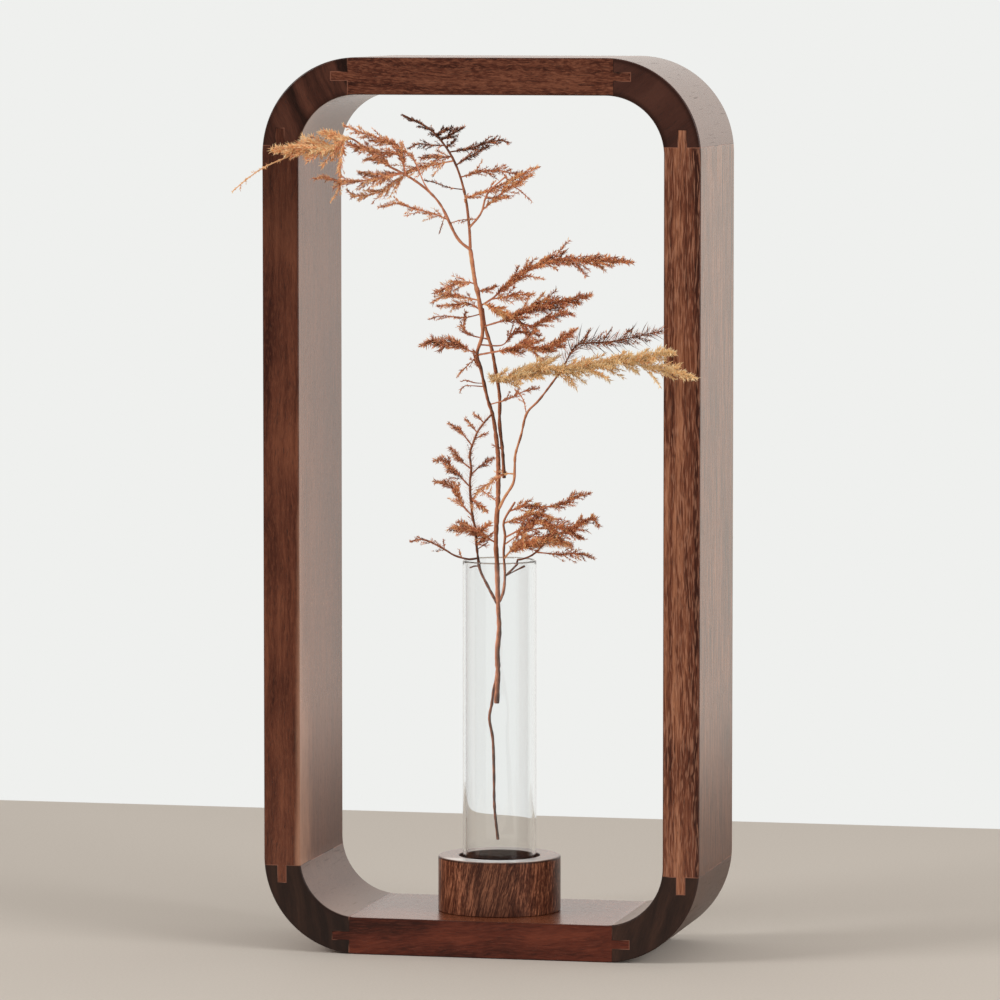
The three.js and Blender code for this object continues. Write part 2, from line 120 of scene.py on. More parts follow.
class Recipe:
    """A node tree written as expressions. Its nodes all come from the one method node."""

    def __init__(self, tree):
        self.tree = tree
        tree.nodes.clear()

    def node(self, kind, settings=None, inputs=None, output=0):
        made = self.tree.nodes.new(kind)
        for key, value in (settings or {}).items():
            if key == "stops":
                ramp = made.color_ramp
                while len(ramp.elements) < len(value):
                    ramp.elements.new(0.5)
                for element, (position, colour) in zip(ramp.elements, value):
                    element.position = position
                    element.color = colour
            else:
                setattr(made, key, value)
        for key, value in (inputs or {}).items():
            if isinstance(value, Term):
                self.tree.links.new(value.socket, made.inputs[key])
            else:
                made.inputs[key].default_value = value
        return Term(self, made.outputs[output]) if made.outputs else None

    def math(self, operation, *terms):
        return self.node("ShaderNodeMath", {"operation": operation}, dict(enumerate(terms)))

    def lower(self, first, second):
        return self.math("MINIMUM", first, second)

    def higher(self, first, second):
        return self.math("MAXIMUM", first, second)

    def rise(self, term, start, end):
        """0 below start and 1 above end, with a smooth step between."""
        limits = {"Value": term, "From Min": start, "From Max": end}
        return self.node("ShaderNodeMapRange", {"interpolation_type": "SMOOTHSTEP"}, limits)

    def place(self):
        """Where a point of the piece is, in metres."""
        return self.node("ShaderNodeTexCoord", output="Object")

    def parts(self, vector):
        return [self.node("ShaderNodeSeparateXYZ", inputs={0: vector}, output=i) for i in range(3)]

    def millimetres(self, place):
        return [part * 1000 for part in self.parts(place)]

    def joined(self, x, y, z):
        return self.node("ShaderNodeCombineXYZ", inputs={0: x, 1: y, 2: z})

    def noise(self, vector, factors, detail=3.0, roughness=0.55):
        """Noise of a vector times three factors."""
        stretched = self.node("ShaderNodeVectorMath", {"operation": "MULTIPLY"}, {0: vector, 1: factors})
        inputs = {"Vector": stretched, "Scale": 1.0, "Detail": detail, "Roughness": roughness}
        return self.node("ShaderNodeTexNoise", inputs=inputs)

    def noise_along(self, term):
        """Noise of one number."""
        inputs = {"W": term, "Scale": 1.0, "Detail": 2.0, "Roughness": 0.5}
        return self.node("ShaderNodeTexNoise", {"noise_dimensions": "1D"}, inputs)

    def ramp(self, term, stops):
        return self.node("ShaderNodeValToRGB", {"stops": stops}, {0: term})

    def mixed(self, factor, first, second, blend="MIX"):
        """Colours mixed by a factor."""
        settings = {"data_type": "RGBA", "blend_type": blend}
        return self.node("ShaderNodeMix", settings, {0: factor, 6: first, 7: second}, output=2)

    def bump(self, height, strength, distance):
        inputs = {"Height": height, "Strength": strength, "Distance": distance}
        return self.node("ShaderNodeBump", inputs=inputs)

    def principled(self, inputs):
        return self.node("ShaderNodeBsdfPrincipled", inputs=inputs)

    def surface(self, shader):
        self.node("ShaderNodeOutputMaterial", inputs={"Surface": shader})


def material_recipe(name):
    material = bpy.data.materials.new(name)
    material.use_nodes = True
    return material, Recipe(material.node_tree)


def paint(red, green, blue):
    """An opaque colour written in 0 to 255 as the light it stands for."""
    shares = np.array([red, green, blue]) / 255
    light = np.where(shares <= 0.04045, shares / 12.92, ((shares + 0.055) / 1.055) ** 2.4)
    return (*(float(v) for v in light), 1.0)


# Materials

GRAIN_UP = (0.0, 0.0, 0.0)
GLUE_LIGHT = paint(150, 98, 78)
GLUE_DARK = paint(38, 22, 17)
# Dark pore colour, also used for painted shade along edges.
PORE_AND_EDGE_SHADE = paint(38, 20, 15)
SAPWOOD = paint(196, 146, 118)
# Dark colour for painted shade on the collar.
BORE_SHADE = paint(40, 27, 24)
NO_DASH = (1.0, 4.0, 0.0, (0, 0, 0))


def board_edge(wood, along, across, half_length, half_span):
    """Signed distance in mm, seen from the front, to the outline of a board with its tongues. Along and
    across are measured from the middle of the frame."""
    from_joint = along - half_length
    off = abs(across - (half_span - BOARD / 2)) - (TONGUE_FAR - TONGUE_NEAR) / 2
    tongue = wood.higher(off, from_joint - TONGUE)
    return wood.lower(from_joint, tongue)


def rail_edge(wood, place):
    x, _, z = wood.millimetres(place)
    return board_edge(wood, abs(x), abs(z - HEIGHT / 2), SIDE_JOINT, HEIGHT / 2)


def post_edge(wood, place):
    x, _, z = wood.millimetres(place)
    return board_edge(wood, abs(z - HEIGHT / 2), abs(x), TOP_JOINT - HEIGHT / 2, HALF_WIDTH)


def from_middle(wood, place):
    """Distance in mm from the frame's middle plane toward the front or the back."""
    return abs(wood.millimetres(place)[1])


def wide_face(wood, place):
    """1 on a board's wide faces and 0 on its edges at the front and the back."""
    return 1 - wood.rise(from_middle(wood, place), HALF_DEPTH - 0.9, HALF_DEPTH - 0.2)


def from_curve_centre(wood, place):
    """Distance in mm to the middle line of the nearest corner's curves."""
    x, _, z = wood.millimetres(place)
    over = wood.higher(OUTER_CURVE - z, z - TOP_CURVE_Z)
    return (wood.higher(abs(x) - CURVE_X, 0.0) ** 2 + wood.higher(over, 0.0) ** 2) ** 0.5


def curved_rim(wood, place):
    """How near a place on a corner's front is to its two curved edges."""
    out = from_curve_centre(wood, place)
    inward = wood.lower(OUTER_CURVE - out, out - INNER_CURVE)
    front = wood.rise(from_middle(wood, place), HALF_DEPTH - 0.2, HALF_DEPTH)
    return (1 - wood.rise(inward, 0.5, 2.6)) * front


def walnut(name, deep, body, light, grain, seat, rings, streak, dash, blotches, waver=1.0, seams=(),
           face=(94, 72, 58), paler=1.0, end_grain=0.0, matt=0.26, shine=0.32, foot=0.0,
           fibre=(0.5, 4.5), rim=0.0, part=None):
    """Oiled walnut. Rings are noise of the distance from a far pith line, so that they run in flames, and
    waver says how much they wander. A streak is noise stretched along the grain, given as width and reach
    in mm and strength. A dash is the same cut to short light flecks, with its colour, and fibre is the
    finest such noise, given as strength and reach. Pores are short dark dashes. Wide faces are plainer than
    edges and paler by the face colour, partly the side grain's own colour and partly painted sheen. At the
    foot of a post they are painted darker, a painted shade for the dimmer reflection near the floor. Where
    they cut across the grain, fine dark checks cross them. Eased edges, and the rim of a corner's front,
    are painted dark, a painted shade for the dark line that a rounded edge shows. Glue shows as a hairline
    along each of the given seams. The part adds its own darker, paler or polished places, some of them
    painted light or shade."""
    pith_x, pith_y, rings_per_mm = 60, 85, 0.30
    material, wood = material_recipe(name)
    place = wood.place()
    mapping = {"Vector": place, "Rotation": grain, "Scale": (1000.0, 1000.0, 1000.0), "Location": seat}
    board = wood.node("ShaderNodeMapping", inputs=mapping)
    wander = wood.noise(board, (0.03, 0.03, 0.012), 2.0)
    quiver = wood.noise(board, (0.16, 0.16, 0.09), 1.0)
    x, y, z = wood.parts(board)
    x = x + ((wander - 0.5) * 9 + (quiver - 0.5) * 2.2) * waver
    y = y + (wander - 0.5) * 6
    wavy = wood.joined(x, y, z)

    def grained(width, reach, detail):
        """Noise along the grain, of a width and a reach in mm."""
        return wood.noise(wavy, (1 / width, 1 / width, 1 / reach), detail, 0.6)

    growth = wood.noise_along(((x - pith_x) ** 2 + (y - pith_y) ** 2) ** 0.5 * rings_per_mm)
    streaks = grained(streak[0], streak[1], 3.0)
    fine = grained(0.31, fibre[1], 3.0)
    lines = grained(0.9, 34.0, 2.0)
    flecks = wood.rise(grained(dash[0], dash[1], 1.0), 0.51, 0.64)
    pore = wood.rise(grained(0.38, 4.2, 1.0), 0.60, 0.74)
    blotch = wood.noise(board, (0.05, 0.05, 0.022), 2.0)
    depth = from_middle(wood, place)
    wide = wide_face(wood, place)
    eased = wood.rise(depth, HALF_DEPTH - 1, HALF_DEPTH - 0.6)
    eased = eased * (1 - wood.rise(depth, HALF_DEPTH - 0.2, HALF_DEPTH - 0.02))
    # Painted shade: a post's wide faces darker toward the floor, for the dimmer reflection there.
    low = (1 - wood.rise(wood.millimetres(place)[2], 34, 112)) * wide * foot
    plain = 1 - wide * 0.85
    tone = 0.5 + ((growth - 0.5) * rings + (streaks - 0.5) * streak[2]) * plain
    tone = tone + (fine - 0.5) * fibre[0] * (1 - wide * 0.5)
    tone = tone + (blotch - 0.5) * blotches * (1 - wide * 0.7) + (lines - 0.5) * wide * 1.4
    colour = wood.ramp(tone, [(0.2, paint(*deep)), (0.5, paint(*body)), (0.8, paint(*light))])
    colour = wood.mixed(flecks * plain * dash[2], colour, paint(*dash[3]))
    # Wide faces paler by the face colour: partly the side grain's own colour, partly painted sheen.
    colour = wood.mixed(wide * paler, colour, paint(*face), "SCREEN")
    # Painted shade at the foot of a post.
    colour = wood.mixed(low, colour, paint(*deep))
    # Painted shade: the eased edges darkened, for the dark line that a rounded edge shows.
    colour = wood.mixed(eased * 0.4, colour, PORE_AND_EDGE_SHADE)
    specks = wood.rise(grained(0.5, 2.6, 1.0), 0.62, 0.74) * wide
    if end_grain:
        check = wood.noise(place, (1100.0, 60.0, 1100.0), 1.0)
        specks = wood.higher(specks, wood.rise(check, 0.63, 0.76) * wide * end_grain * 2)
    pits = wood.higher(pore * 0.5 * (1 - wide * 0.5), specks * 0.34)
    colour = wood.mixed(pits, colour, PORE_AND_EDGE_SHADE)
    if rim:
        # Painted shade: the rim of a corner's front darkened.
        colour = wood.mixed(curved_rim(wood, place) * rim, colour, PORE_AND_EDGE_SHADE)
    polish = 0.0
    if part:
        colour, polish = part(wood, place, colour)
    height = ((fine - 0.5) * 0.5 + (streaks - 0.5) * 0.3 - pits) * plain
    for seam in seams:
        near = 1 - wood.rise(abs(seam(wood, place)), 0.08, 0.24)
        pale = wood.rise(wood.noise(place, (90.0, 90.0, 90.0), 1.0), 0.40, 0.56)
        glue = wood.mixed(pale, GLUE_DARK, GLUE_LIGHT)
        colour = wood.mixed(near * 0.7, colour, glue)
        height = height - near
    finish = {"Base Color": colour, "IOR": 1.5, "Specular IOR Level": shine}
    finish.update({"Coat Weight": polish, "Coat IOR": 1.5, "Coat Roughness": 0.09})
    finish["Roughness"] = matt + (fine - 0.5) * 0.10 + pits * 0.25 + low * 0.4 + eased * 0.15
    finish["Normal"] = wood.bump(height, 0.35, 0.00012)
    wood.surface(wood.principled(finish))
    return material


def sapwood(wood, place, colour):
    """The left post's darker top, and a pale tongue of sapwood up its inner front edge, widest at its
    foot."""
    x, y, z = wood.millimetres(place)
    colour = wood.mixed(wood.rise(z, 235, 310) * wood.rise(abs(y), 35.6, 35.9) * 0.3, colour, PORE_AND_EDGE_SHADE)
    ragged = wood.noise(place, (140.0, 140.0, 36.0)) - 0.5
    off = (((x + 75) * 10) ** 2 + (y + 36) ** 2) ** 0.5 + z * 0.11 + ragged * 30
    return wood.mixed((1 - wood.rise(off, 4, 32)) * 0.6, colour, SAPWOOD), 0.0


def painted_hollow_sheen_near_rail(wood, place, colour):
    """Painted sheen on the corner's hollow, paler where it levels out toward the rail."""
    level = 1 - wood.rise(wood.millimetres(place)[2], 14.5, 24)
    # Painted sheen: the hollow paler near the rail.
    return wood.mixed(level * wide_face(wood, place) * 0.9, colour, paint(106, 88, 78), "SCREEN"), 0.0


def painted_hollow_sheen(shade):
    """Painted sheen: the hollow of a corner, paler by the given colour than its outside."""

    def part(wood, place, colour):
        hollow = 1 - wood.rise(from_curve_centre(wood, place), INNER_CURVE + 0.5, INNER_CURVE + 2.5)
        # Painted sheen on the hollow.
        return wood.mixed(hollow * wide_face(wood, place), colour, paint(*shade), "SCREEN"), 0.0

    return part


def collar_shade_and_sheen(wood, place, colour):
    """The collar's painted light and shade. The bore is painted dark, a painted shade for the unlit socket.
    A painted dark line runs round the eased top edge, for the dark reflection that edge shows. The top is
    painted paler, a painted sheen, with a painted highlight at the front; it is polished, most at the
    front. A painted shade darkens a band up the middle and right of the front, where the turned side falls
    away from the key light."""
    x, y, z = wood.millimetres(place)
    radius = (x**2 + y**2) ** 0.5
    inside = 1 - wood.rise(radius, 16.6, 17.0)
    # Painted shade: the middle and right of the collar darker, as the turned side falls away from the key
    # light.
    middle_shade = wood.rise(x, -13, -1) * (1 - wood.rise(x, 6, 18) * 0.8) * 0.54
    top = wood.rise(z, COLLAR_TOP - 0.3, COLLAR_TOP - 0.1) * (1 - inside)
    # Painted shade: a dark line under the top, for the eased edge's dark reflection.
    edge = wood.rise(z, COLLAR_TOP - 1.0, COLLAR_TOP - 0.75) * (1 - top) * (1 - inside)
    # Painted sheen: the top paler.
    colour = wood.mixed(top * 0.5, colour, paint(120, 96, 82))
    colour = wood.mixed(wood.higher(middle_shade, edge * 0.7), colour, BORE_SHADE)
    # Painted highlight at the front of the top.
    front = wood.rise(0 - y, 11, 17) * top
    colour = wood.mixed(front * 0.2, colour, paint(226, 206, 192))
    # Painted shade: the bore darkened, as the socket gets no light.
    return wood.mixed(inside * 0.86, colour, BORE_SHADE), top * 0.35 + front * 0.62 + inside * 0.1


def tube_glass():
    """Clear glass that lets the lamps' light through to what is behind it. Its rim is painted grey, a painted
    shade for the dark line that refraction draws along a glass rim.
    """
    material, glass = material_recipe("tube glass")
    # Painted shade: the rim painted grey.
    rim = glass.rise(glass.millimetres(glass.place())[2], RIM - 0.9, RIM - 0.4)
    colour = glass.mixed(rim, (0.985, 0.992, 0.99, 1.0), (0.66, 0.62, 0.59, 1.0))
    body = {"Base Color": colour, "Roughness": 0.0, "IOR": 1.47, "Transmission Weight": 1.0}
    clear = glass.principled(body)
    through = glass.node("ShaderNodeBsdfTransparent", inputs={"Color": (0.97, 0.98, 0.98, 1.0)})
    shadow = glass.node("ShaderNodeLightPath", output="Is Shadow Ray")
    glass.surface(glass.node("ShaderNodeMixShader", inputs={0: shadow, 1: clear, 2: through}))
    return material


def plated_steel():
    """Zinc-plated steel with fine turning marks and a few dull spots."""
    material, steel = material_recipe("plated steel")
    marks = steel.noise(steel.place(), (9000.0, 900.0, 3000.0), 2.0)
    spots = steel.noise(steel.place(), (700.0, 700.0, 700.0))
    shade = steel.ramp(spots, [(0.3, paint(150, 146, 134)), (0.7, paint(196, 196, 192))])
    finish = {"Base Color": shade, "Metallic": 1.0, "Roughness": 0.26 + marks * 0.2}
    finish["Normal"] = steel.bump(marks, 0.15, 0.0001)
    steel.surface(steel.principled(finish))
    return material


def dried_plant():
    """Bark and needles. The mesh's tone runs from near black through red-brown and orange to pale straw."""
    material, plant = material_recipe("dried plant")
    tone = plant.node("ShaderNodeAttribute", {"attribute_name": "tone"}, output="Fac")
    specks = plant.noise(plant.place(), (900.0, 900.0, 500.0), 2.0)
    stops = [
        (0.0, paint(62, 40, 32)),
        (0.18, paint(134, 79, 52)),
        (0.40, paint(222, 144, 108)),
        (0.62, paint(250, 190, 138)),
        (0.85, paint(255, 212, 152)),
        (1.0, paint(255, 230, 186)),
    ]
    colour = plant.ramp(tone + (specks - 0.5) * 0.22, stops)
    finish = {"Base Color": colour, "Roughness": 0.62 + (specks - 0.5) * 0.2, "IOR": 1.4}
    finish["Normal"] = plant.bump(specks, 0.3, 0.0001)
    plant.surface(plant.principled(finish))
    return material


WOOD = {
    "bottom_rail": walnut(
        "walnut of the bottom rail", (54, 24, 17), (88, 39, 27), (112, 54, 37),
        grain=(0.05, 1.66, 0.0), seat=(13.0, 40.0, 7.0), rings=0.5, streak=(1.0, 9.0, 0.7),
        dash=(0.7, 5.0, 0.25, (118, 62, 46)), blotches=1.2, seams=[rail_edge], face=(94, 57, 36),
        shine=0.23,
    ),
    "top_rail": walnut(
        "walnut of the top rail", (52, 25, 18), (90, 47, 33), (124, 74, 53),
        grain=(0.5, 1.5, 0.3), seat=(31.0, 4.0, 90.0), rings=0.9, streak=(0.8, 3.6, 1.15),
        dash=(0.5, 2.4, 0.45, (144, 90, 66)), blotches=0.7, seams=[rail_edge],
    ),
    "left_post": walnut(
        "walnut of the left post", (64, 31, 22), (99, 54, 38), (126, 74, 52),
        grain=GRAIN_UP, seat=(22.0, 17.0, 0.0), rings=0.6, streak=(1.6, 24.0, 0.6),
        dash=(0.6, 3.0, 0.18, (138, 86, 62)), blotches=1.0, seams=[post_edge], face=(104, 82, 66),
        foot=0.65, part=sapwood,
    ),
    "right_post": walnut(
        "walnut of the right post", (62, 31, 22), (113, 63, 44), (168, 111, 81),
        grain=GRAIN_UP, seat=(17.0, 61.0, 33.0), rings=1.2, streak=(0.9, 34.0, 1.0),
        dash=(0.6, 7.0, 0.45, (186, 132, 104)), blotches=0.5, waver=0.55, seams=[post_edge],
        face=(78, 79, 65), paler=0.8, foot=0.6, fibre=(0.95, 8.0),
    ),
    "corner_bottom_left": walnut(
        "walnut of the lower left corner", (34, 20, 15), (50, 31, 23), (64, 41, 30),
        grain=(0.0, 0.15, 0.0), seat=(7.0, 3.0, 5.0), rings=0.7, streak=(1.6, 20.0, 0.5),
        dash=NO_DASH, blotches=0.8, seams=[rail_edge, post_edge], face=(92, 56, 36), paler=0.8, end_grain=0.5,
        matt=0.36, rim=0.4, part=painted_hollow_sheen_near_rail,
    ),
    "corner_bottom_right": walnut(
        "walnut of the lower right corner", (34, 20, 15), (50, 31, 23), (68, 43, 32),
        grain=(0.0, -0.3, 0.0), seat=(40.0, 9.0, 5.0), rings=0.7, streak=(1.4, 16.0, 0.5),
        dash=NO_DASH, blotches=0.8, seams=[rail_edge, post_edge], face=(72, 44, 28), paler=0.7, end_grain=0.5,
        matt=0.42, part=painted_hollow_sheen((118, 98, 84)),
    ),
    "corner_top_left": walnut(
        "walnut of the upper left corner", (38, 23, 18), (72, 42, 33), (96, 58, 45),
        grain=(0.0, 0.45, 0.0), seat=(12.0, 26.0, 5.0), rings=1.6, streak=(2.6, 40.0, 0.6),
        dash=NO_DASH, blotches=0.7, seams=[rail_edge, post_edge], end_grain=0.4, matt=0.2, rim=0.35,
        part=painted_hollow_sheen((120, 100, 84)),
    ),
    "corner_top_right": walnut(
        "walnut of the upper right corner", (48, 29, 23), (70, 41, 33), (84, 51, 41),
        grain=(0.0, -0.9, 0.0), seat=(3.0, 44.0, 5.0), rings=0.15, streak=(1.8, 7.0, 0.2),
        dash=NO_DASH, blotches=1.3, seams=[rail_edge, post_edge], end_grain=0.5, fibre=(0.25, 4.5),
        rim=0.7,
    ),
    "tube_holder": walnut(
        "turned walnut", (66, 34, 24), (102, 57, 41), (190, 124, 92),
        grain=(0.0, -0.2, 0.0), seat=(19.0, 55.0, 12.0), rings=0.4, streak=(0.42, 2.2, 2.2),
        dash=(0.4, 1.8, 0.7, (222, 156, 118)), blotches=1.0, paler=0.0, matt=0.34, shine=0.16,
        fibre=(1.9, 2.4), part=collar_shade_and_sheen,
    ),
}
GLASS = tube_glass()
STEEL = plated_steel()
PLANT = dried_plant()


# Meshes


def fill(name, points, *face_lists):
    """A mesh from an array of points in millimetres and arrays of faces, a row of corners to a face."""
    mesh = bpy.data.meshes.new(name)
    corners = np.concatenate([faces.ravel() for faces in face_lists])
    sizes = np.concatenate([np.full(len(faces), faces.shape[1]) for faces in face_lists])
    mesh.vertices.add(len(points))
    mesh.vertices.foreach_set("co", (points * MM).astype(np.float32).ravel())
    mesh.loops.add(len(corners))
    mesh.loops.foreach_set("vertex_index", corners.astype(np.int32))
    mesh.polygons.add(len(sizes))
    mesh.polygons.foreach_set("loop_start", (np.cumsum(sizes) - sizes).astype(np.int32))
    mesh.update(calc_edges=True)
    mesh.validate()
    return mesh


def in_scene(name, data):
    """A new object of the scene."""
    made = bpy.data.objects.new(name, data)
    bpy.context.scene.collection.objects.link(made)
    return made


def dress(mesh, material, crease):
    """Smooth shading up to the crease angle, and a material."""
    mesh.shade_smooth()
    mesh.set_sharp_from_angle(angle=math.radians(crease))
    mesh.materials.append(material)


def place_piece(name, mesh, material, body, replaces, crease=30.0):
    """A piece at the origin, riding on its body."""
    dress(mesh, material, crease)
    piece = in_scene(name, mesh)
    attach(piece, body)
    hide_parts(replaces)
    return piece


def ring_faces(rings, around):
    """Quads between rings of points that each go once round."""
    ring, step = np.meshgrid(np.arange(rings - 1), np.arange(around), indexing="ij")
    first, beside = ring * around, (step + 1) % around
    quads = [first + step, first + beside, first + around + beside, first + around + step]
    return np.stack(quads, axis=-1).reshape(-1, 4)


def closed_rings(rings, around, flip=False):
    """The same with a face over each end."""
    ends = [np.arange(around)[::-1][None], (rings - 1) * around + np.arange(around)[None]]
    return [faces[:, ::-1] if flip else faces for faces in [ring_faces(rings, around), *ends]]


def arc(centre, radius, start, end, steps):
    """Points of a circle in the XZ plane between two angles in degrees, with their outward directions."""
    angle = np.radians(np.linspace(start, end, steps + 1))
    out = np.stack([np.cos(angle), np.sin(angle)], axis=1)
    return np.array(centre) + radius * out, out


def carried_outline(outline, out):
    """An outline in the XZ plane carried along Y. Near the front and the back each point moves against its
    outward direction by rounding * (1 - cos a) while it goes the last rounding * sin a, so the skin's edges
    are eased and the joints, whose outward direction is zero, stay square."""
    turn = np.radians(np.linspace(90, 0, 6))
    inset = EDGE_ROUNDING * (1 - np.cos(turn))
    ahead = EDGE_ROUNDING * (1 - np.sin(turn))
    inset = np.concatenate([inset, inset[::-1]])
    depth = np.concatenate([ahead - HALF_DEPTH, HALF_DEPTH - ahead[::-1]])
    flat = outline[None] - inset[:, None, None] * out[None]
    points = np.stack([flat[..., 0], np.broadcast_to(depth[:, None], flat.shape[:2]), flat[..., 1]], axis=-1)
    return points.reshape(-1, 3), closed_rings(len(depth), len(outline), flip=True)


def chained(*runs):
    """Runs of points with their outward directions as one outline."""
    return [np.concatenate(parts) for parts in zip(*runs)]


def tongue(joint, end, first, last, upright):
    """The corners of a tongue or its slot, which carry no outward direction."""
    points = np.array([(joint, first), (end, first), (end, last), (joint, last)])
    return points[:, ::-1] if upright else points, np.zeros_like(points)


def skin(centres, radius, angles, steps, sense, ends):
    """Arcs joined by straight runs, with their outward directions, which at both ends lie in a joint's
    plane."""
    points, out = chained(*[arc(c, radius, a, b, steps) for c, (a, b) in zip(centres, angles)])
    out = out * sense
    out[0], out[-1] = ends
    return points, out


OUTER_TURN = math.degrees(math.asin((CORNER_REACH - OUTER_CURVE) / OUTER_CURVE))
INNER_TURN = math.degrees(math.asin((CORNER_REACH - OUTER_CURVE) / INNER_CURVE))


def corner_outline():
    """The upper right corner block, counterclockwise from the front: the outer arc, the rail's slot, the
    inner arc and the post's slot."""
    centre = [(CURVE_X, TOP_CURVE_Z)]
    outer = skin(centre, OUTER_CURVE, [(-OUTER_TURN, 90 + OUTER_TURN)], 56, 1, [(1, 0), (0, 1)])
    inner = skin(centre, INNER_CURVE, [(90 + INNER_TURN, -INNER_TURN)], 48, -1, [(0, -1), (-1, 0)])
    rail_slot = tongue(SIDE_JOINT, SIDE_JOINT + TONGUE, HEIGHT - TONGUE_NEAR, HEIGHT - TONGUE_FAR, False)
    near, far = HALF_WIDTH - TONGUE_FAR, HALF_WIDTH - TONGUE_NEAR
    return chained(outer, rail_slot, inner, tongue(TOP_JOINT, TOP_JOINT + TONGUE, near, far, True))


def board_outline(first, last, start, end, edge, upright):
    """A board with a tongue at each end, counterclockwise from the front. First and last are the centres of
    the curves that its skins run into, start and end its joints, and edge its outer face."""
    facing, away = (0, (1, 0)) if upright else (90, (0, 1))
    turns = [(facing + OUTER_TURN, facing), (facing, facing - OUTER_TURN)]
    outer = skin([first, last], OUTER_CURVE, turns, 5, 1, [away, away])
    turns = [(facing - INNER_TURN, facing), (facing, facing + INNER_TURN)]
    back = (-away[0], -away[1])
    inner = skin([last, first], INNER_CURVE, turns, 5, -1, [back, back])
    reach = math.copysign(TONGUE, end - start)
    near, far = edge - TONGUE_FAR, edge - TONGUE_NEAR
    ahead = tongue(end, end + reach, far, near, upright)
    return chained(outer, ahead, inner, tongue(start, start - reach, near, far, upright))


def rail_outline():
    """The top rail."""
    right, left = (CURVE_X, TOP_CURVE_Z), (-CURVE_X, TOP_CURVE_Z)
    return board_outline(right, left, SIDE_JOINT, -SIDE_JOINT, HEIGHT, False)


def post_outline():
    """The right post."""
    low, high = (CURVE_X, OUTER_CURVE), (CURVE_X, TOP_CURVE_Z)
    return board_outline(low, high, CORNER_REACH, TOP_JOINT, HALF_WIDTH, True)


def mirrored(outline, out, across=False, upright=False):
    """The outline on the frame's other side: across for left, upright for bottom. One mirror alone turns
    its sense, so the order is then reversed."""
    flip = np.array([-1.0 if across else 1.0, -1.0 if upright else 1.0])
    centre = np.array([0.0, HEIGHT if upright else 0.0])
    outline, out = centre + flip * outline, flip * out
    if across != upright:
        outline, out = outline[::-1], out[::-1]
    return outline, out


def turned(name, profile, around, x=0.0):
    """A mesh turned about an upright line at x from a profile of radius and height, its poles and seams
    closed."""
    profile = np.array(profile, dtype=float)
    angle = 2 * np.pi * np.arange(around) / around
    radius, height = profile[:, :1], profile[:, 1:]
    upright = np.broadcast_to(height, (len(profile), around))
    points = np.stack([radius * np.cos(angle) + x, radius * np.sin(angle), upright], axis=-1)
    mesh = fill(name, points.reshape(-1, 3), ring_faces(len(profile), around))
    made = bmesh.new()
    made.from_mesh(mesh)
    bmesh.ops.remove_doubles(made, verts=made.verts, dist=MERGED_WITHIN)
    made.to_mesh(mesh)
    made.free()
    return mesh


def rounded(centre, radius, start, end, steps):
    """Part of a circle as profile points."""
    return arc(centre, radius, start, end, steps)[0].tolist()


# Frame boards


def drilled(mesh, profile, around):
    """The mesh less a hole at each screw, given as the hole's turned profile."""
    whole = in_scene("block", mesh)
    holes = []
    for x in (-SCREW_OFFSET, SCREW_OFFSET):
        hole = in_scene("screw hole", turned("screw hole", profile, around, x))
        step = whole.modifiers.new("cut", "BOOLEAN")
        step.operation = "DIFFERENCE"
        step.solver = "EXACT"
        step.object = hole
        holes.append(hole)
    left = bpy.data.meshes.new_from_object(whole.evaluated_get(bpy.context.evaluated_depsgraph_get()))
    for spare in [whole, *holes]:
        bpy.data.objects.remove(spare)
    return left


def board(name, outline, out, slot):
    """One board or corner block of the frame."""
    points, faces = carried_outline(outline, out)
    mesh = fill(name, points, *faces)
    if name == "bottom_rail":
        head, cone = SCREW_HEAD_RADIUS + HOLE_GAP, SCREW_SINK + SCREW_HEAD_HEIGHT
        low, high = -1, BOARD + 5
        sunk = [(0, low), (head, low), (head, SCREW_SINK)]
        mesh = drilled(mesh, [*sunk, (HOLE_RADIUS, cone), (HOLE_RADIUS, high), (0, high)], 48)
    piece = place_piece(name + "_wood", mesh, WOOD[name], "stand", name)
    even = piece.modifiers.new("even shading", "WEIGHTED_NORMAL")
    even.keep_sharp = True


board("top_rail", *rail_outline(), "wood_rail")
board("bottom_rail", *mirrored(*rail_outline(), upright=True), "wood_rail")
board("right_post", *post_outline(), "wood_post_right")
board("left_post", *mirrored(*post_outline(), across=True), "wood_post_left")
board("corner_top_right", *corner_outline(), "wood_corner")
board("corner_top_left", *mirrored(*corner_outline(), across=True), "wood_corner")
board("corner_bottom_right", *mirrored(*corner_outline(), upright=True), "wood_corner")
board("corner_bottom_left", *mirrored(*corner_outline(), across=True, upright=True), "wood_corner")


# Collar


def collar():
    """A turned ring with an eased top edge, a fine chamfer at its foot, an eased socket mouth and a flat
    socket floor."""
    ease, mouth, chamfer = 0.8, 0.35, 0.4
    profile = [(0, BOARD), (COLLAR_RADIUS - chamfer, BOARD), (COLLAR_RADIUS, BOARD + chamfer)]
    profile += [(COLLAR_RADIUS, BOARD + 4), (COLLAR_RADIUS, COLLAR_TOP - 3)]
    profile += rounded((COLLAR_RADIUS - ease, COLLAR_TOP - ease), ease, 0, 90, 8)
    profile += [(COLLAR_RADIUS - 2, COLLAR_TOP), (SOCKET_RADIUS + 1, COLLAR_TOP)]
    profile += rounded((SOCKET_RADIUS + mouth, COLLAR_TOP - mouth), mouth, 90, 180, 5)
    profile += [(SOCKET_RADIUS, COLLAR_TOP - 2), (SOCKET_RADIUS, SOCKET_FLOOR), (0, SOCKET_FLOOR)]
    low, high = BOARD - 1, BOARD + 8
    hole = [(0, low), (HOLE_RADIUS, low), (HOLE_RADIUS, high), (0, high)]
    return drilled(turned("tube_holder", profile, 160), hole, 32)


place_piece("collar_wood", collar(), WOOD["tube_holder"], "stand", "tube_holder")

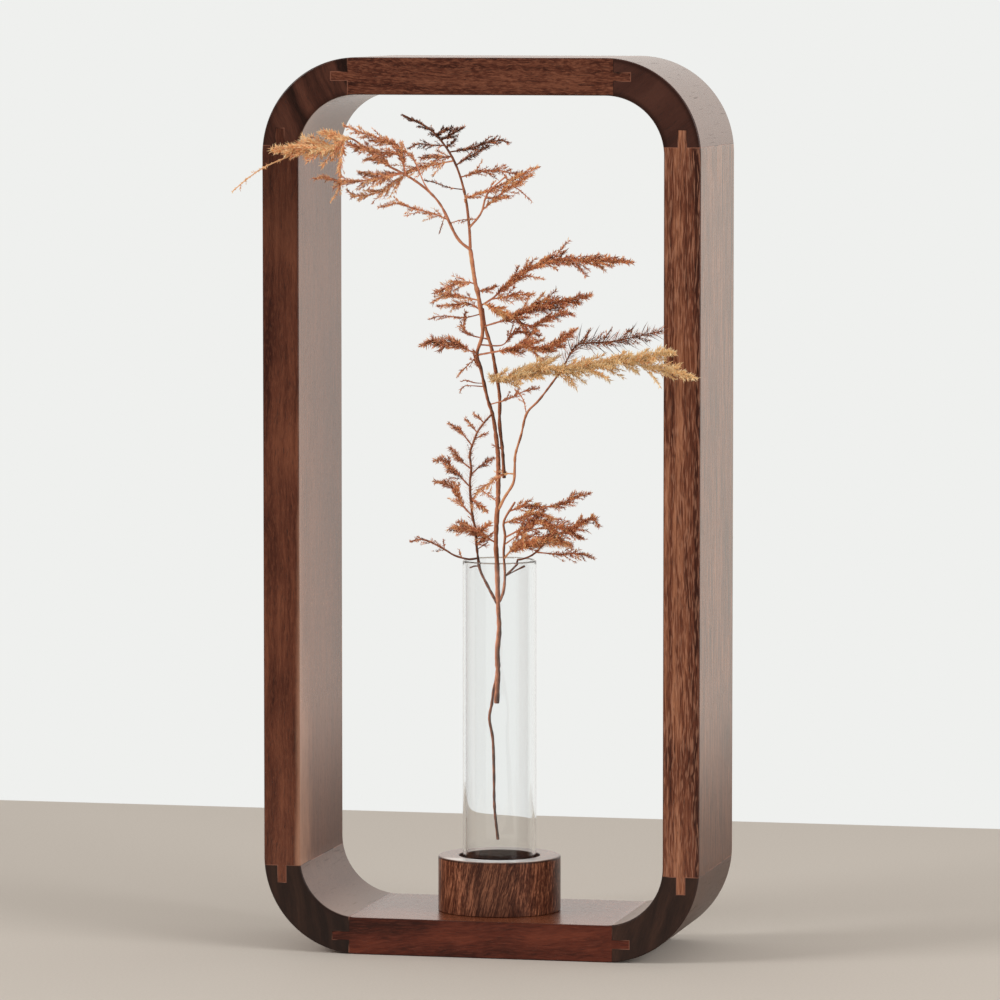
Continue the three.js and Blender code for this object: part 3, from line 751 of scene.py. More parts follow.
for node in ("holder_screw_left", "holder_screw_right"):
    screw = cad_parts[node]
    screw.data.materials.clear()
    screw.data.materials.append(STEEL)


# Glass tube


def glass_tube():
    """A hemisphere for a foot, a straight wall and a fire-polished rim rounded over the wall's thickness."""
    bore = TUBE_RADIUS - TUBE_WALL
    bowl = (0, TUBE_FOOT + TUBE_RADIUS)
    lip = TUBE_WALL / 2
    profile = rounded(bowl, TUBE_RADIUS, -90, 0, 28)
    profile += [(TUBE_RADIUS, z) for z in np.linspace(bowl[1] + 6, RIM - 2.5, 8)]
    profile += rounded((TUBE_RADIUS - lip, RIM - lip), lip, 0, 180, 12)
    profile += [(bore, z) for z in np.linspace(RIM - 2.5, bowl[1] + 6, 8)]
    profile += rounded(bowl, bore, 0, -90, 28)
    return turned("glass_tube", profile, 160)


place_piece("tube_glass", glass_tube(), GLASS, "tube", "glass_tube", crease=60)


# Sprig


def from_rim(route):
    """Points given from the middle of the tube's rim, in the frame's millimetres."""
    return np.array(route, dtype=float) + np.array([0.0, 0.0, RIM])


def step_lengths(path):
    return np.linalg.norm(np.diff(path, axis=0), axis=1)


def unit(vectors):
    """The vectors made 1 long."""
    return vectors / np.linalg.norm(vectors, axis=1)[:, None]


def smooth_path(route, spacing):
    """A Catmull-Rom curve through the points of a route, sampled at about the given spacing."""
    route = np.asarray(route, dtype=float)
    padded = np.concatenate([2 * route[:1] - route[1:2], route, 2 * route[-1:] - route[-2:-1]])
    counts = np.maximum(1, np.round(step_lengths(route) / spacing)).astype(int)
    span = np.repeat(np.arange(len(counts)), counts)
    share = (np.arange(len(span)) - np.repeat(np.cumsum(counts) - counts, counts)) / counts[span]
    before, start, end, after = (padded[span + i] for i in range(4))
    t = share[:, None]
    bend = (2 * before - 5 * start + 4 * end - after) * t**2 + (3 * start - before - 3 * end + after) * t**3
    curve = 0.5 * (2 * start + (end - before) * t + bend)
    return np.concatenate([curve, route[-1:]])


def nearest_on(path, point):
    """The point of a path that is nearest to a point."""
    start, step = path[:-1], np.diff(path, axis=0)
    share = np.sum((point - start) * step, axis=1) / np.maximum(np.sum(step**2, axis=1), 1e-12)
    there = start + np.clip(share, 0, 1)[:, None] * step
    return there[np.argmin(np.linalg.norm(there - point, axis=1))]


def directions(path):
    """Unit tangents of a path, and two directions across it, the second near Y."""
    tangent = unit(np.gradient(path, axis=0))
    aside = unit(np.cross(tangent, np.array([0.0, 1.0, 0.0])))
    return tangent, aside, np.cross(tangent, aside)


def limb(path, radii, tones, sides, painted_left_light=0.0):
    """A round limb with blunt ends: a ring about each point of the path. Radius and tone pass through the
    given values at even steps; the radius also wanders by a tenth, as bark does. Painted light: the left
    side is painted lighter and the right side darker by the given amount, for the key lamp on the left."""
    _, aside, upward = directions(path)
    radius, tone = [np.interp(np.linspace(0, 1, len(path)), np.linspace(0, 1, len(values)), values)
                    for values in (radii, tones)]
    radius = radius * (1 + 0.10 * chance.standard_normal(len(path)))
    tone = tone + 0.03 * chance.standard_normal(len(path))
    angle = 2 * np.pi * np.arange(sides) / sides
    outward = np.cos(angle)[None, :, None] * aside[:, None] + np.sin(angle)[None, :, None] * upward[:, None]
    points = (path[:, None] + radius[:, None, None] * outward).reshape(-1, 3)
    # Painted light: tone raised on the left side of the limb and lowered on the right.
    return points, (tone[:, None] - painted_left_light * outward[..., 0]).ravel(), *closed_rings(len(path), sides)


def along_path(path, share):
    """Places, tangents and the two directions across a path at shares of its length."""
    length = np.concatenate([[0], np.cumsum(step_lengths(path))])
    there = share * length[-1]
    frames = (path, *directions(path))
    return [np.stack([np.interp(there, length, rows[:, i]) for i in range(3)], axis=1) for rows in frames]


def spikes(foot, direction, length, width, curl):
    """Flat spikes: three corners at the foot, three beyond the middle and a tip, which is moved by curl."""
    side = unit(np.cross(direction, np.array([0.31, 0.22, 0.92])))
    thick = np.cross(side, direction)
    angle = 2 * np.pi * np.arange(3) / 3
    flat = np.cos(angle)[None, :, None] * side[:, None] + 0.6 * np.sin(angle)[None, :, None] * thick[:, None]
    low = foot[:, None] + (0.7 * width)[:, None, None] * flat
    middle = foot + direction * (0.55 * length)[:, None] + 0.3 * curl
    high = middle[:, None] + width[:, None, None] * flat
    tip = foot + direction * length[:, None] + curl
    first = 7 * np.arange(len(foot))[:, None]
    quads = np.concatenate([first + [j, (j + 1) % 3, 3 + (j + 1) % 3, 3 + j] for j in range(3)])
    ends = np.concatenate([first + [3 + j, 3 + (j + 1) % 3, 6] for j in range(3)] + [first + [2, 1, 0]])
    return np.concatenate([low, high, tip[:, None]], axis=1).reshape(-1, 3), quads, ends


def leaning(ahead, aside, upward, turn, lean):
    """Unit vectors that lean away from ahead, turned round it."""
    outward = np.cos(turn)[:, None] * aside + np.sin(turn)[:, None] * upward
    return np.cos(lean)[:, None] * ahead + np.sin(lean)[:, None] * outward


def across(direction):
    """Two directions across each of some unit vectors."""
    aside = unit(np.cross(direction, np.array([0.12, 0.97, 0.21])))
    return aside, np.cross(direction, aside)


def tufts(foot, ahead, aside, upward, lean, length, spread, tone, mottle):
    """Needles that lean out all round at an angle between the two of lean, in degrees."""
    count = len(foot)
    turn = chance.uniform(0, 2 * np.pi, count)
    heading = leaning(ahead, aside, upward, turn, np.radians(chance.uniform(*lean, count)))
    size = length * chance.uniform(*spread, count)
    return foot, heading, size, 0.10 + 0.045 * size, heading * 0.0, tone + chance.normal(0, mottle, count)


def spray(path, reach, gap, bare, tone):
    """Branchlets along a twig and needles round them, as feet, directions, lengths, widths, curls and
    tones. Branchlets stand alternately to both sides, lean forward and droop; their length follows a half
    wave along the twig. Needles stand out all round, also on the twig itself."""
    stalk_gap, needle_gap, twig_gap = 0.3 + 1.2 * gap, 0.09 + 0.2 * gap, 0.06 + 0.25 * gap
    stalk_width = 0.12
    length = np.sum(step_lengths(path)) * (1 - bare)
    count = max(3, int(length / stalk_gap))
    place = (np.arange(count) + chance.uniform(0, 1, count)) / count
    foot, ahead, aside, upward = along_path(path, bare + (1 - bare) * place)
    turn = np.pi * (np.arange(count) % 2 + 0.5) + chance.normal(0, 0.95, count)
    direction = leaning(ahead, aside, upward, turn, np.radians(chance.uniform(14, 46, count)))
    swell = np.sqrt(np.sin(np.pi * (0.18 + 0.79 * place)))
    size = 1.9 * reach * swell * np.clip(np.exp(chance.normal(-0.08, 0.38, count)), 0.35, 1.7)
    size = np.minimum(size, 0.5 + 0.38 * (1 - place) * length)
    curl = (ahead * 0.8 - np.array([0.0, 0.0, 0.5])) * (size * chance.uniform(0.0, 0.25, count))[:, None]
    shade = tone + chance.normal(0, 0.09, count)
    stalks = foot, direction, size, np.full(count, stalk_width), curl, shade - 0.10

    needle = np.clip(0.56 * reach, 1.2, 2.5)
    owner = np.repeat(np.arange(count), np.maximum(3, (size / needle_gap).astype(int)))
    along = chance.uniform(0.1, 1.0, len(owner))
    base = foot[owner] + direction[owner] * (size[owner] * along)[:, None]
    base = base + curl[owner] * (along**2)[:, None]
    ahead = direction[owner]
    on_stalks = tufts(base, ahead, *across(ahead), (14, 60), needle, (0.5, 1.15), shade[owner], 0.16)

    place = chance.uniform(0, 1, max(6, int(length / twig_gap)))
    frames = along_path(path, bare + (1 - bare) * place)
    on_twig = tufts(*frames, (20, 64), needle * (1 - 0.4 * place), (0.6, 1.2), tone, 0.15)
    return [np.concatenate(parts) for parts in zip(stalks, on_stalks, on_twig)]


def comb(path, size, spacing, bare, tone, half_width):
    """Straight needles in an upper and a lower row along a twig, at about 50 degrees to it, which shorten
    toward its tip, given as a spray's are."""
    pairs = max(3, int(np.sum(step_lengths(path)) * (1 - bare) / spacing))
    count = 2 * pairs
    place = (np.arange(count) // 2 + chance.uniform(0.1, 0.9, count)) / pairs
    foot, ahead, aside, upward = along_path(path, bare + (1 - bare) * place)
    turn = np.pi * (np.arange(count) % 2) + chance.normal(0, 0.5, count)
    direction = leaning(ahead, aside, upward, turn, np.radians(chance.normal(50, 9, count)))
    size = size * chance.uniform(0.5, 1.1, count) * np.sqrt(np.sin(np.pi * (0.22 + 0.70 * place)))
    shade = tone + chance.normal(0, 0.15, count)
    return foot, direction, size, np.full(count, half_width), ahead * (0.1 * size)[:, None], shade


class Bunch:
    """Limbs and needles gathered into one mesh."""

    def __init__(self):
        self.points, self.faces, self.tones, self.count = [], [], [], 0

    def add(self, points, tones, *face_lists):
        self.faces += [faces + self.count for faces in face_lists]
        self.points.append(points)
        self.tones.append(tones)
        self.count += len(points)

    def needles(self, foot, direction, length, width, curl, shade):
        points, quads, ends = spikes(foot, direction, length, width, curl)
        tip = np.array([-0.05] * 3 + [0.0] * 3 + [0.12])
        self.add(points, (shade[:, None] + tip).ravel(), quads, ends)

    def mesh(self, name):
        mesh = fill(name, np.concatenate(self.points), *self.faces)
        tone = mesh.attributes.new("tone", "FLOAT", "POINT")
        tone.data.foreach_set("value", np.concatenate(self.tones).astype(np.float32))
        return mesh


# Stems, as points in millimetres from the middle of the tube's rim.
STEMS = {
    "stem": [
        (-1, -1, -58.5), (0, -3, -46), (0, -4, -37), (1, -5, -28), (1, -7, -18), (1, -9, -1), (1, -11, 7),
        (2, -14, 18), (3, -16, 26), (4, -20, 41), (4, -22, 48), (3, -25, 60), (1, -27, 68), (-1, -30, 80),
        (-2, -32, 86), (1, -35, 95), (0, -38, 109), (-1, -40, 115), (-2, -44, 128),
    ],
    "thin": [
        (-2, 6, -115.5), (-3, 4, -102), (-3, 3, -88), (-3, 1, -74), (-4, -1, -65), (-3, -1, -59),
        (-2, -2, -53), (0, -3, -46),
    ],
    "back": [
        (6.2, -19, 35), (6, -21, 46), (5, -22, 57), (5, -22, 68), (4, -25, 79), (3, -28, 88),
        (1, -30, 96), (1, -36, 104),
    ],
    "left": [
        (1, -7, -18), (-3, -8, -10), (-6, -9, -3), (-7, -11, 6), (-7, -13, 13), (-8, -15, 20), (-8, -19, 32),
        (-7, -21, 38), (-7, -23, 45), (-5, -25, 50), (-3, -27, 54), (0, -27.5, 58), (2.5, -26, 61),
    ],
    "left_hook": [
        (-6.5, -9.8, 1.5), (-10, -11.5, 1), (-16, -12, 2.5), (-20, -13, 5), (-28, -15, 9), (-34, -15, 8),
    ],
    "right": [
        (1, -7, -17), (3, -7, -13), (4, -8, -6), (4, -10, 4), (5, -12, 11), (5, -14, 17), (10, -16, 25),
    ],
    "hook": [
        (4, -8, -6), (9, -8.6, -1), (9.6, -9, 1), (11.5, -10.3, 1.3), (18, -13, 4.5), (28, -17, 15),
    ],
    "right_bud": [(4, -8, -6), (8, -6, -3.6), (11.3, -4.5, -2)],
    "left_bud": [(-6, -9.2, -2), (-8.4, -8.6, -2.1), (-10.1, -8, -2.7)],
    "long": [
        (2.4, -14.7, 21), (6, -17, 27), (10, -19, 33), (11, -21, 39), (12, -24, 45), (15, -27, 53),
        (18, -30, 62), (24, -33, 68), (34, -38, 80),
    ],
    "top_mid": [
        (-2, -44, 128), (-2, -46, 137), (-3, -49, 150), (-6, -52, 162), (-11, -54, 171), (-17, -55, 177),
        (-27, -56, 182),
    ],
    "top_left": [
        (-2, -44, 128), (-7, -46, 133), (-13, -49, 146), (-19, -52, 153), (-26, -54, 158), (-35, -56, 163),
        (-46, -59, 172), (-50, -60, 172.5),
    ],
    "top_right": [(-2, -46, 137), (2, -48, 141), (4, -49, 144), (7, -52, 151), (15, -54, 158)],
}

# Fronds of each piece: a name, what it grows from, its tone from dark to pale, its needles' length and
# spacing, the bare share of its foot, and its points, in millimetres from the middle of the tube's rim.
FRONDS = {
    "sprig_stem": [
        ("K1", "stem", 0.44, 3.6, 0.26, 0.1, [(-1, -40, 114), (-4, -41, 115), (-9.5, -41, 114),
         (-14, -41.5, 112), (-17, -42, 110.5)]),
        ("K2", "stem", 0.5, 3.0, 0.32, 0.1, [(0, -38, 107.5), (-10.5, -39.5, 109.5), (-15, -40.5, 108.5),
         (-18.5, -41, 106.5)]),
        ("K3", "stem", 0.46, 2.7, 0.34, 0.1, [(0.5, -37, 103.5), (-3.5, -37, 106), (-7.5, -36.5, 106),
         (-12.5, -36, 105.5), (-17.5, -35.5, 105)]),
        ("K4", "stem", 0.34, 1.6, 0.55, 0.2, [(-0.5, -36.5, 102), (-6.5, -35.5, 100.5), (-15.5, -35, 101),
         (-21.5, -34, 99.5)]),
        ("K5", "stem", 0.38, 4.0, 0.2, 0.12, [(-2, -32, 86), (-6, -33.5, 87.5), (-11, -34.5, 89.5),
         (-15.5, -35, 90), (-19.5, -36, 90.5), (-24, -36, 89)]),
        ("K10", "stem", 0.38, 2.6, 0.26, 0.1, [(0, -39.5, 111), (4, -40.5, 112), (8.5, -41.5, 113.5)]),
        ("K11", "stem", 0.42, 2.8, 0.26, 0.0, [(-1, -30, 80), (-3, -31, 83), (-3.5, -32, 87)]),
        ("K7", "stem", 0.5, 1.4, 0.7, 0.2, [(-1.5, -32, 84.5), (-7.5, -29, 80), (-11.5, -26.5, 76)]),
        ("K8", "stem", 0.36, 0.9, 1.0, 0.4, [(-0.5, -29, 73.5), (-3.5, -30, 74), (-7, -31, 75),
         (-8.5, -32, 74.5)]),
        ("K9", "stem", 0.36, 0.9, 1.0, 0.4, [(-1.5, -28.5, 72), (-8, -27.5, 72.5), (-10.5, -26, 70)]),
        ("F11", "stem", 0.5, 2.0, 0.5, 0.2, [(5.5, -27, 66), (10, -28.5, 67.5), (16, -30.5, 70.5),
         (24, -32.5, 72.5)]),
    ],
    "sprig_back_stem": [
        ("K6", "back", 0.42, 2.6, 0.34, 0.3, [(-3.5, -33, 89), (-6.5, -33, 94.5), (-6.5, -34, 103)]),
        ("LR2", "back", 0.45, 1.8, 0.55, 0.2, [(-5.5, -21.5, 46), (2, -22, 48.5)]),
    ],
    "sprig_left_branch": [
        ("L1", "left", 0.4, 2.7, 0.2, 0.3, [(-7, -22.5, 49.5), (-11, -23.5, 54), (-15.5, -24.5, 57)]),
        ("L2", "left", 0.36, 2.6, 0.24, 0.2, [(-4, -24, 55.5), (-8.5, -25, 59)]),
        ("L3", "left", 0.38, 3.1, 0.2, 0.3, [(-8, -19.5, 39), (-11.5, -20.5, 42), (-15.5, -21.5, 47)]),
        ("L4", "left", 0.4, 3.1, 0.22, 0.2, [(-9, -17.5, 31.5), (-15.5, -19.5, 39), (-19, -20.5, 42),
         (-22.5, -20, 41.5)]),
        ("L5", "left", 0.44, 3.3, 0.22, 0.2, [(-8, -14, 19), (-11.5, -15.5, 23), (-14.5, -17, 29),
         (-18, -17.5, 32), (-23, -18, 33)]),
        ("LR1", "left", 0.36, 2.4, 0.3, 0.3, [(-7.5, -19, 36.5), (-2.5, -20, 40.5), (2.5, -20.5, 43)]),
        ("LR3", "left", 0.38, 2.0, 0.3, 0.2, [(-3.5, -23, 52), (0.5, -23.5, 53.5)]),
        ("LR4", "left", 0.38, 2.0, 0.3, 0.1, [(-2.5, -25, 59.5), (-5, -25.5, 61.5)]),
        ("L7", "stem", 0.44, 4.2, 0.22, 0.2, [(1, -11, 8), (-5.5, -12, 11.5), (-9, -12.5, 13.5),
         (-14, -13, 16.5)]),
        ("L8", "left", 0.5, 3.4, 0.24, 0.0, [(-8, -17, 26.5), (-5, -16, 23.5), (-1.5, -15.5, 21.3)]),
        ("L9", "left", 0.5, 3.8, 0.24, 0.0, [(-7, -12, 10.5), (-4.5, -13.5, 13), (-0.5, -14.5, 16)]),
        ("L11", "left", 0.46, 3.2, 0.26, 0.0, [(-6.5, -11, 7), (-3, -12, 9.5), (0, -13, 12)]),
        ("L10", "left", 0.3, 0.8, 1.2, 0.4, [(-6.8, -10.5, 5), (-2.5, -11, 8)]),
        ("hook_bud", "left_hook", 0.3, 0.8, 0.6, 0.2, [(-20, -13, 5), (-20.5, -13, 9)]),
        ("hook_tuft", "left_hook", 0.36, 1.1, 0.5, 0.1, [(-13, -12, 2), (-14, -12, 4.6)]),
        ("L6", "left", 0.44, 4.6, 0.2, 0.0, [(-7.5, -12.5, 13), (-12.5, -12.5, 13.5), (-17.5, -13, 14)]),
    ],
    "sprig_right_branch": [
        ("r1", "right", 0.5, 3.7, 0.28, 0.1, [(9.5, -14.5, 20), (15, -14.5, 23.5), (22.5, -13.5, 23)]),
        ("r2", "r1", 0.42, 2.9, 0.3, 0.05, [(21.5, -14.5, 19.5), (28, -15, 24), (33.5, -15, 27),
         (41, -15, 29)]),
        ("r3", "right", 0.48, 3.6, 0.3, 0.1, [(5.5, -12, 10), (16, -14, 16), (20, -15, 17.5),
         (31.5, -14.5, 14), (41.5, -16.5, 19), (45, -16.5, 16)]),
        ("r4", "hook", 0.44, 2.6, 0.32, 0.2, [(17.5, -13.5, 5), (27.5, -13.5, 4), (36, -14.5, 4.5),
         (42.5, -14.5, 2.5)]),
        ("r6", "right", 0.6, 3.1, 0.34, 0.05, [(5, -14, 16), (13, -14, 19), (20, -14, 20.3),
         (26.5, -14.5, 18)]),
        ("r7", "r3", 0.46, 3.0, 0.3, 0.05, [(21, -14, 12), (27, -15, 12.5), (32, -15.5, 12.8),
         (38.5, -16, 10.5)]),
        ("r8", "right", 0.58, 2.3, 0.5, 0.2, [(5, -11, 7), (11, -12.5, 11.5), (18, -13.5, 14),
         (25, -14.5, 14.5), (30, -15, 16.5)]),
        ("r9", "r8", 0.46, 1.8, 0.6, 0.1, [(11, -12.5, 11.5), (15, -13, 11), (21, -13.5, 10.5)]),
        ("r5", "right", 0.62, 4.4, 0.2, 0.1, [(4.5, -9.5, 1.5), (9, -11.5, 6), (17.5, -13.5, 9),
         (25.5, -14.5, 10), (33, -15, 8)]),
    ],
    "sprig_long_branch": [
        ("long_right_twig", "long", 0.5, 1.2, 0.8, 0.2, [(18, -28.5, 62), (17, -32, 67.5), (14, -34.5, 72)]),
        ("m1", "long", 0.62, 2.6, 0.35, 0.1, [(13, -19, 37), (5.5, -19, 36.5), (1, -18, 33.5),
         (-3.5, -17, 30.5), (-7.5, -16, 26)]),
        ("m2", "m1", 0.6, 2.0, 0.5, 0.1, [(-3, -17, 29), (2, -16, 25.5)]),
        ("F9", "back", 1.04, 4.2, 0.18, 0.02, [(3.5, -25.5, 74.5), (6.5, -31, 75.5), (15.5, -33.5, 77),
         (25, -36, 80.5), (36, -38, 80.5), (43, -40, 81.5), (50.5, -42.5, 82.5), (57.5, -44.5, 84),
         (64.5, -46.5, 84), (69.5, -49, 86), (76.5, -51.5, 87.5), (83, -53.5, 88.5)]),
        ("F9b", "F9", 1.04, 3.2, 0.2, 0.1, [(64.5, -47, 85), (71, -48, 82), (78.5, -49.5, 81.5),
         (83, -51, 81), (91.5, -52.5, 78.5)]),
        ("F8", "long", 0.24, 2.6, 0.6, 0.12, [(34, -36.5, 85.5), (39.5, -37.5, 89.5), (45.5, -38.5, 91),
         (54, -40, 91.8), (62, -41.5, 93.3), (69.5, -43.5, 95), (76.5, -45, 96.6)]),
        ("F8d", "F8", 0.22, 1.5, 0.6, 0.1, [(43, -38, 90.5), (44.5, -38.5, 94), (46, -39, 97)]),
        ("F8e", "F8", 0.22, 1.5, 0.6, 0.1, [(51, -39.5, 91.5), (53, -40, 94.5), (55, -40.5, 97)]),
        ("F8f", "F8", 0.22, 1.3, 0.6, 0.1, [(59, -41, 93), (61.5, -42, 95.5), (64, -42.5, 97.5)]),
    ],
    "sprig_high_frond": [
        ("F1", "stem", 0.46, 3.4, 0.2, 0.12, [(3.5, -37.5, 105.5), (6.5, -38.5, 109), (10.5, -40, 113),
         (15.5, -41.5, 116.5), (22, -43.5, 120.5), (29, -45, 123), (35.5, -46.5, 125), (42, -47, 124.5),
         (51, -47, 124.5), (55, -47, 124.5), (64.5, -47, 123.5)]),
        ("F3", "F1", 0.56, 3.0, 0.3, 0.1, [(6.5, -37.5, 106.5), (17, -40, 110), (23.5, -42, 110.5)]),
        ("F4", "F1", 0.74, 4.4, 0.24, 0.05, [(2.5, -37.5, 105.5), (14, -39.5, 101.5)]),
    ],
    "sprig_middle_frond": [
        ("F2", "stem", 0.44, 3.8, 0.22, 0.15, [(3, -35, 97), (8, -35.5, 99), (14, -35.5, 101),
         (20.5, -36, 104), (27.5, -36.5, 106), (38, -36.5, 108), (45.5, -36.5, 110)]),
        ("F6", "F2", 0.4, 2.9, 0.24, 0.05, [(13.5, -36, 100), (20.5, -36, 97.5), (27.5, -37.5, 100),
         (34.5, -39, 102.5), (39.5, -39.5, 102)]),
    ],
    "sprig_low_frond": [
        ("F5", "stem", 0.38, 2.9, 0.24, 0.4, [(6.5, -32.5, 86.5), (8.5, -32.5, 89.5), (13.5, -33.5, 94.5),
         (20, -33, 94.5), (24, -32, 93.5)]),
        ("F7", "stem", 0.5, 3.9, 0.2, 0.2, [(4, -32, 85), (12.5, -33, 88), (20, -34, 89), (24.5, -34, 87.5),
         (31, -35, 90.5), (39.5, -37, 96.5)]),
    ],
    "sprig_crown_left": [
        ("tip_body", "top_left", 0.78, 5.0, 0.14, 0.0, [(-50, -59.5, 172.5), (-52.5, -59, 169.5),
         (-65.5, -59.5, 169), (-72, -60, 167.5), (-79, -60.5, 168)]),
        ("tip_low", "tip_body", 0.72, 1.0, 0.8, 0.3, [(-66, -58.5, 169), (-75, -58, 164.5), (-83, -58, 161),
         (-88.5, -58, 157.5), (-93, -58, 154), (-96.5, -58, 151)]),
        ("tip_crest", "top_left", 0.78, 4.8, 0.2, 0.0, [(-47, -59.5, 172), (-52, -60.5, 173),
         (-59, -61, 175.2)]),
        ("hang1", "tip_body", 0.66, 1.5, 0.6, 0.1, [(-51, -58, 166.5), (-52.5, -56, 157.5),
         (-53.5, -55.5, 152), (-57, -54.5, 147)]),
        ("hang2", "top_left", 0.5, 3.0, 0.32, 0.1, [(-28, -55.5, 156.5), (-40.5, -55.5, 156),
         (-52, -55.5, 155.5), (-57.5, -56, 156.5), (-63, -56.5, 156.5)]),
        ("red1", "top_left", 0.44, 3.3, 0.2, 0.1, [(-23, -55, 163), (-28, -56.5, 166), (-35.5, -57.5, 167),
         (-43.5, -58.5, 169), (-49, -59, 171)]),
        ("red2", "top_left", 0.46, 3.1, 0.22, 0.1, [(-31, -54, 159.5), (-36, -56, 163.5), (-42.5, -57, 164)]),
        ("red3", "top_left", 0.42, 3.0, 0.24, 0.1, [(-28.5, -53.5, 158), (-35.5, -54, 158),
         (-44.5, -55, 159)]),
        ("upper_thin", "top_left", 0.5, 2.6, 0.3, 0.3, [(-16.5, -51, 150), (-18.8, -52.5, 154.5),
         (-21, -54, 160.5), (-23.5, -55, 165.5), (-27, -56, 167.8), (-31, -57.5, 171), (-41.5, -59.5, 174.5),
         (-50, -60.5, 178)]),
        ("upper_red", "upper_thin", 0.44, 3.0, 0.24, 0.05, [(-28.5, -57, 169.5), (-33, -57, 171),
         (-40, -57.5, 171.5)]),
        ("v1", "top_left", 0.46, 2.5, 0.38, 0.05, [(-11, -46.5, 140), (-16, -48, 142.5),
         (-20, -48.5, 143.5), (-25.5, -49.5, 145), (-31, -50.5, 146.5), (-35.5, -50.5, 145.5),
         (-38, -51, 145)]),
        ("v2", "top_left", 0.3, 0.8, 1.2, 0.2, [(-13.5, -48, 141.5), (-14, -47.5, 134.5)]),
    ],
    "sprig_crown": [
        ("t1", "top_mid", 0.12, 3.0, 0.24, 0.0, [(-13.5, -55, 174), (-6.5, -56, 177)]),
        ("t2", "top_mid", 0.14, 2.8, 0.26, 0.0, [(-11.5, -54.5, 172), (-2, -55, 177)]),
        ("t3", "top_mid", 0.16, 2.8, 0.26, 0.0, [(-9.5, -53.5, 169), (-5.5, -53.5, 172.5)]),
        ("t4", "top_mid", 0.2, 2.4, 0.3, 0.1, [(-9, -53, 167), (-1, -54, 168.5), (7.5, -54.5, 171),
         (12.5, -55, 172), (16.5, -55, 171)]),
        ("t5", "top_mid", 0.26, 2.3, 0.34, 0.05, [(-6, -52, 162), (0.5, -52.5, 166), (7.5, -53, 169.5)]),
        ("t6", "top_mid", 0.2, 2.0, 0.34, 0.05, [(-11.5, -53.5, 169), (-16.5, -54, 170),
         (-21, -54.5, 170.5), (-25, -54.5, 168.5)]),
        ("t7", "top_mid", 0.34, 3.2, 0.24, 0.05, [(-8.5, -52.5, 165), (-14.5, -53, 165), (-20, -53.5, 165)]),
        ("t8", "top_mid", 0.4, 2.5, 0.34, 0.05, [(-4.5, -51.5, 157), (0.5, -52, 158.5), (5, -52, 159.5),
         (11.5, -52, 160), (16, -52, 159), (21.5, -52, 159)]),
        ("t9", "top_mid", 0.22, 1.0, 0.8, 0.2, [(-4, -50, 152), (-9, -50.5, 153), (-15, -51, 155),
         (-19.5, -51, 156)]),
        ("orange1", "top_mid", 0.56, 2.8, 0.3, 0.05, [(-10.5, -52.5, 162), (-16, -52.5, 162),
         (-22, -52, 161), (-27, -51, 158), (-33, -50, 154.5), (-37, -48.5, 151.5), (-44, -48, 149.5),
         (-48.5, -47.5, 149.5), (-51.5, -48, 151.5)]),
        ("orange2", "top_mid", 0.56, 2.7, 0.32, 0.05, [(-4, -48.5, 146), (-3, -49.5, 148.5),
         (2.5, -50.5, 150.5), (9.5, -52, 153), (16.5, -53, 156), (23, -54.5, 159), (28.5, -55.5, 161.5)]),
        ("u1", "top_right", 0.56, 2.7, 0.34, 0.05, [(4.5, -49, 144), (9, -50.5, 148), (14, -52.5, 152),
         (19, -54, 155), (26, -56, 158.5)]),
        ("u2", "u1", 0.4, 0.8, 1.0, 0.1, [(17, -53.5, 153.5), (20, -53.5, 152.5), (25, -53, 148)]),
        ("u3", "top_right", 0.44, 1.8, 0.45, 0.1, [(9, -50, 148), (15.5, -51.5, 149.5)]),
        ("u4", "top_right", 0.36, 1.0, 0.7, 0.1, [(2, -47, 140.5), (-5, -48, 140), (-8.5, -48.5, 139)]),
    ],
}

# Stems of each piece: the radii and the tones at even steps from foot to tip, and how much the left side
# is painted lighter and the right side darker, a painted light from the key lamp on the left.
STEM_LOOKS = {
    "sprig_stem": [
        ("stem", (1.08, 1.02, 0.98, 0.98, 0.96, 0.76, 0.66, 0.88, 0.84),
         (0.18, 0.22, 0.25, 0.29, 0.33, 0.24, 0.24, 0.42, 0.44), 0.24),
        ("thin", (0.6, 0.62), (0.1, 0.16), 0.16),
    ],
    "sprig_back_stem": [("back", (0.74, 0.72, 0.68, 0.74), (0.16, 0.28, 0.36, 0.5), 0.26)],
    "sprig_left_branch": [
        ("left", (0.6, 0.4), (0.12, 0.22), 0.14), ("left_hook", (0.42, 0.3), (0.08, 0.32), 0.1),
        ("left_bud", (0.2, 0.34), (0.1, 0.1), 0.0),
    ],
    "sprig_right_branch": [
        ("right", (0.62, 0.42), (0.26, 0.32), 0.26), ("hook", (0.45, 0.3), (0.08, 0.28), 0.1),
        ("right_bud", (0.24, 0.36), (0.12, 0.12), 0.0),
    ],
    "sprig_long_branch": [("long", (0.64, 0.4), (0.5, 0.22), 0.26)],
    "sprig_crown": [
        ("top_mid", (0.6, 0.36), (0.34, 0.1), 0.12), ("top_right", (0.5, 0.3), (0.38, 0.38), 0.15),
    ],
    "sprig_crown_left": [("top_left", (0.6, 0.36), (0.4, 0.28), 0.2)],
    "sprig_high_frond": [],
    "sprig_middle_frond": [],
    "sprig_low_frond": [],
}

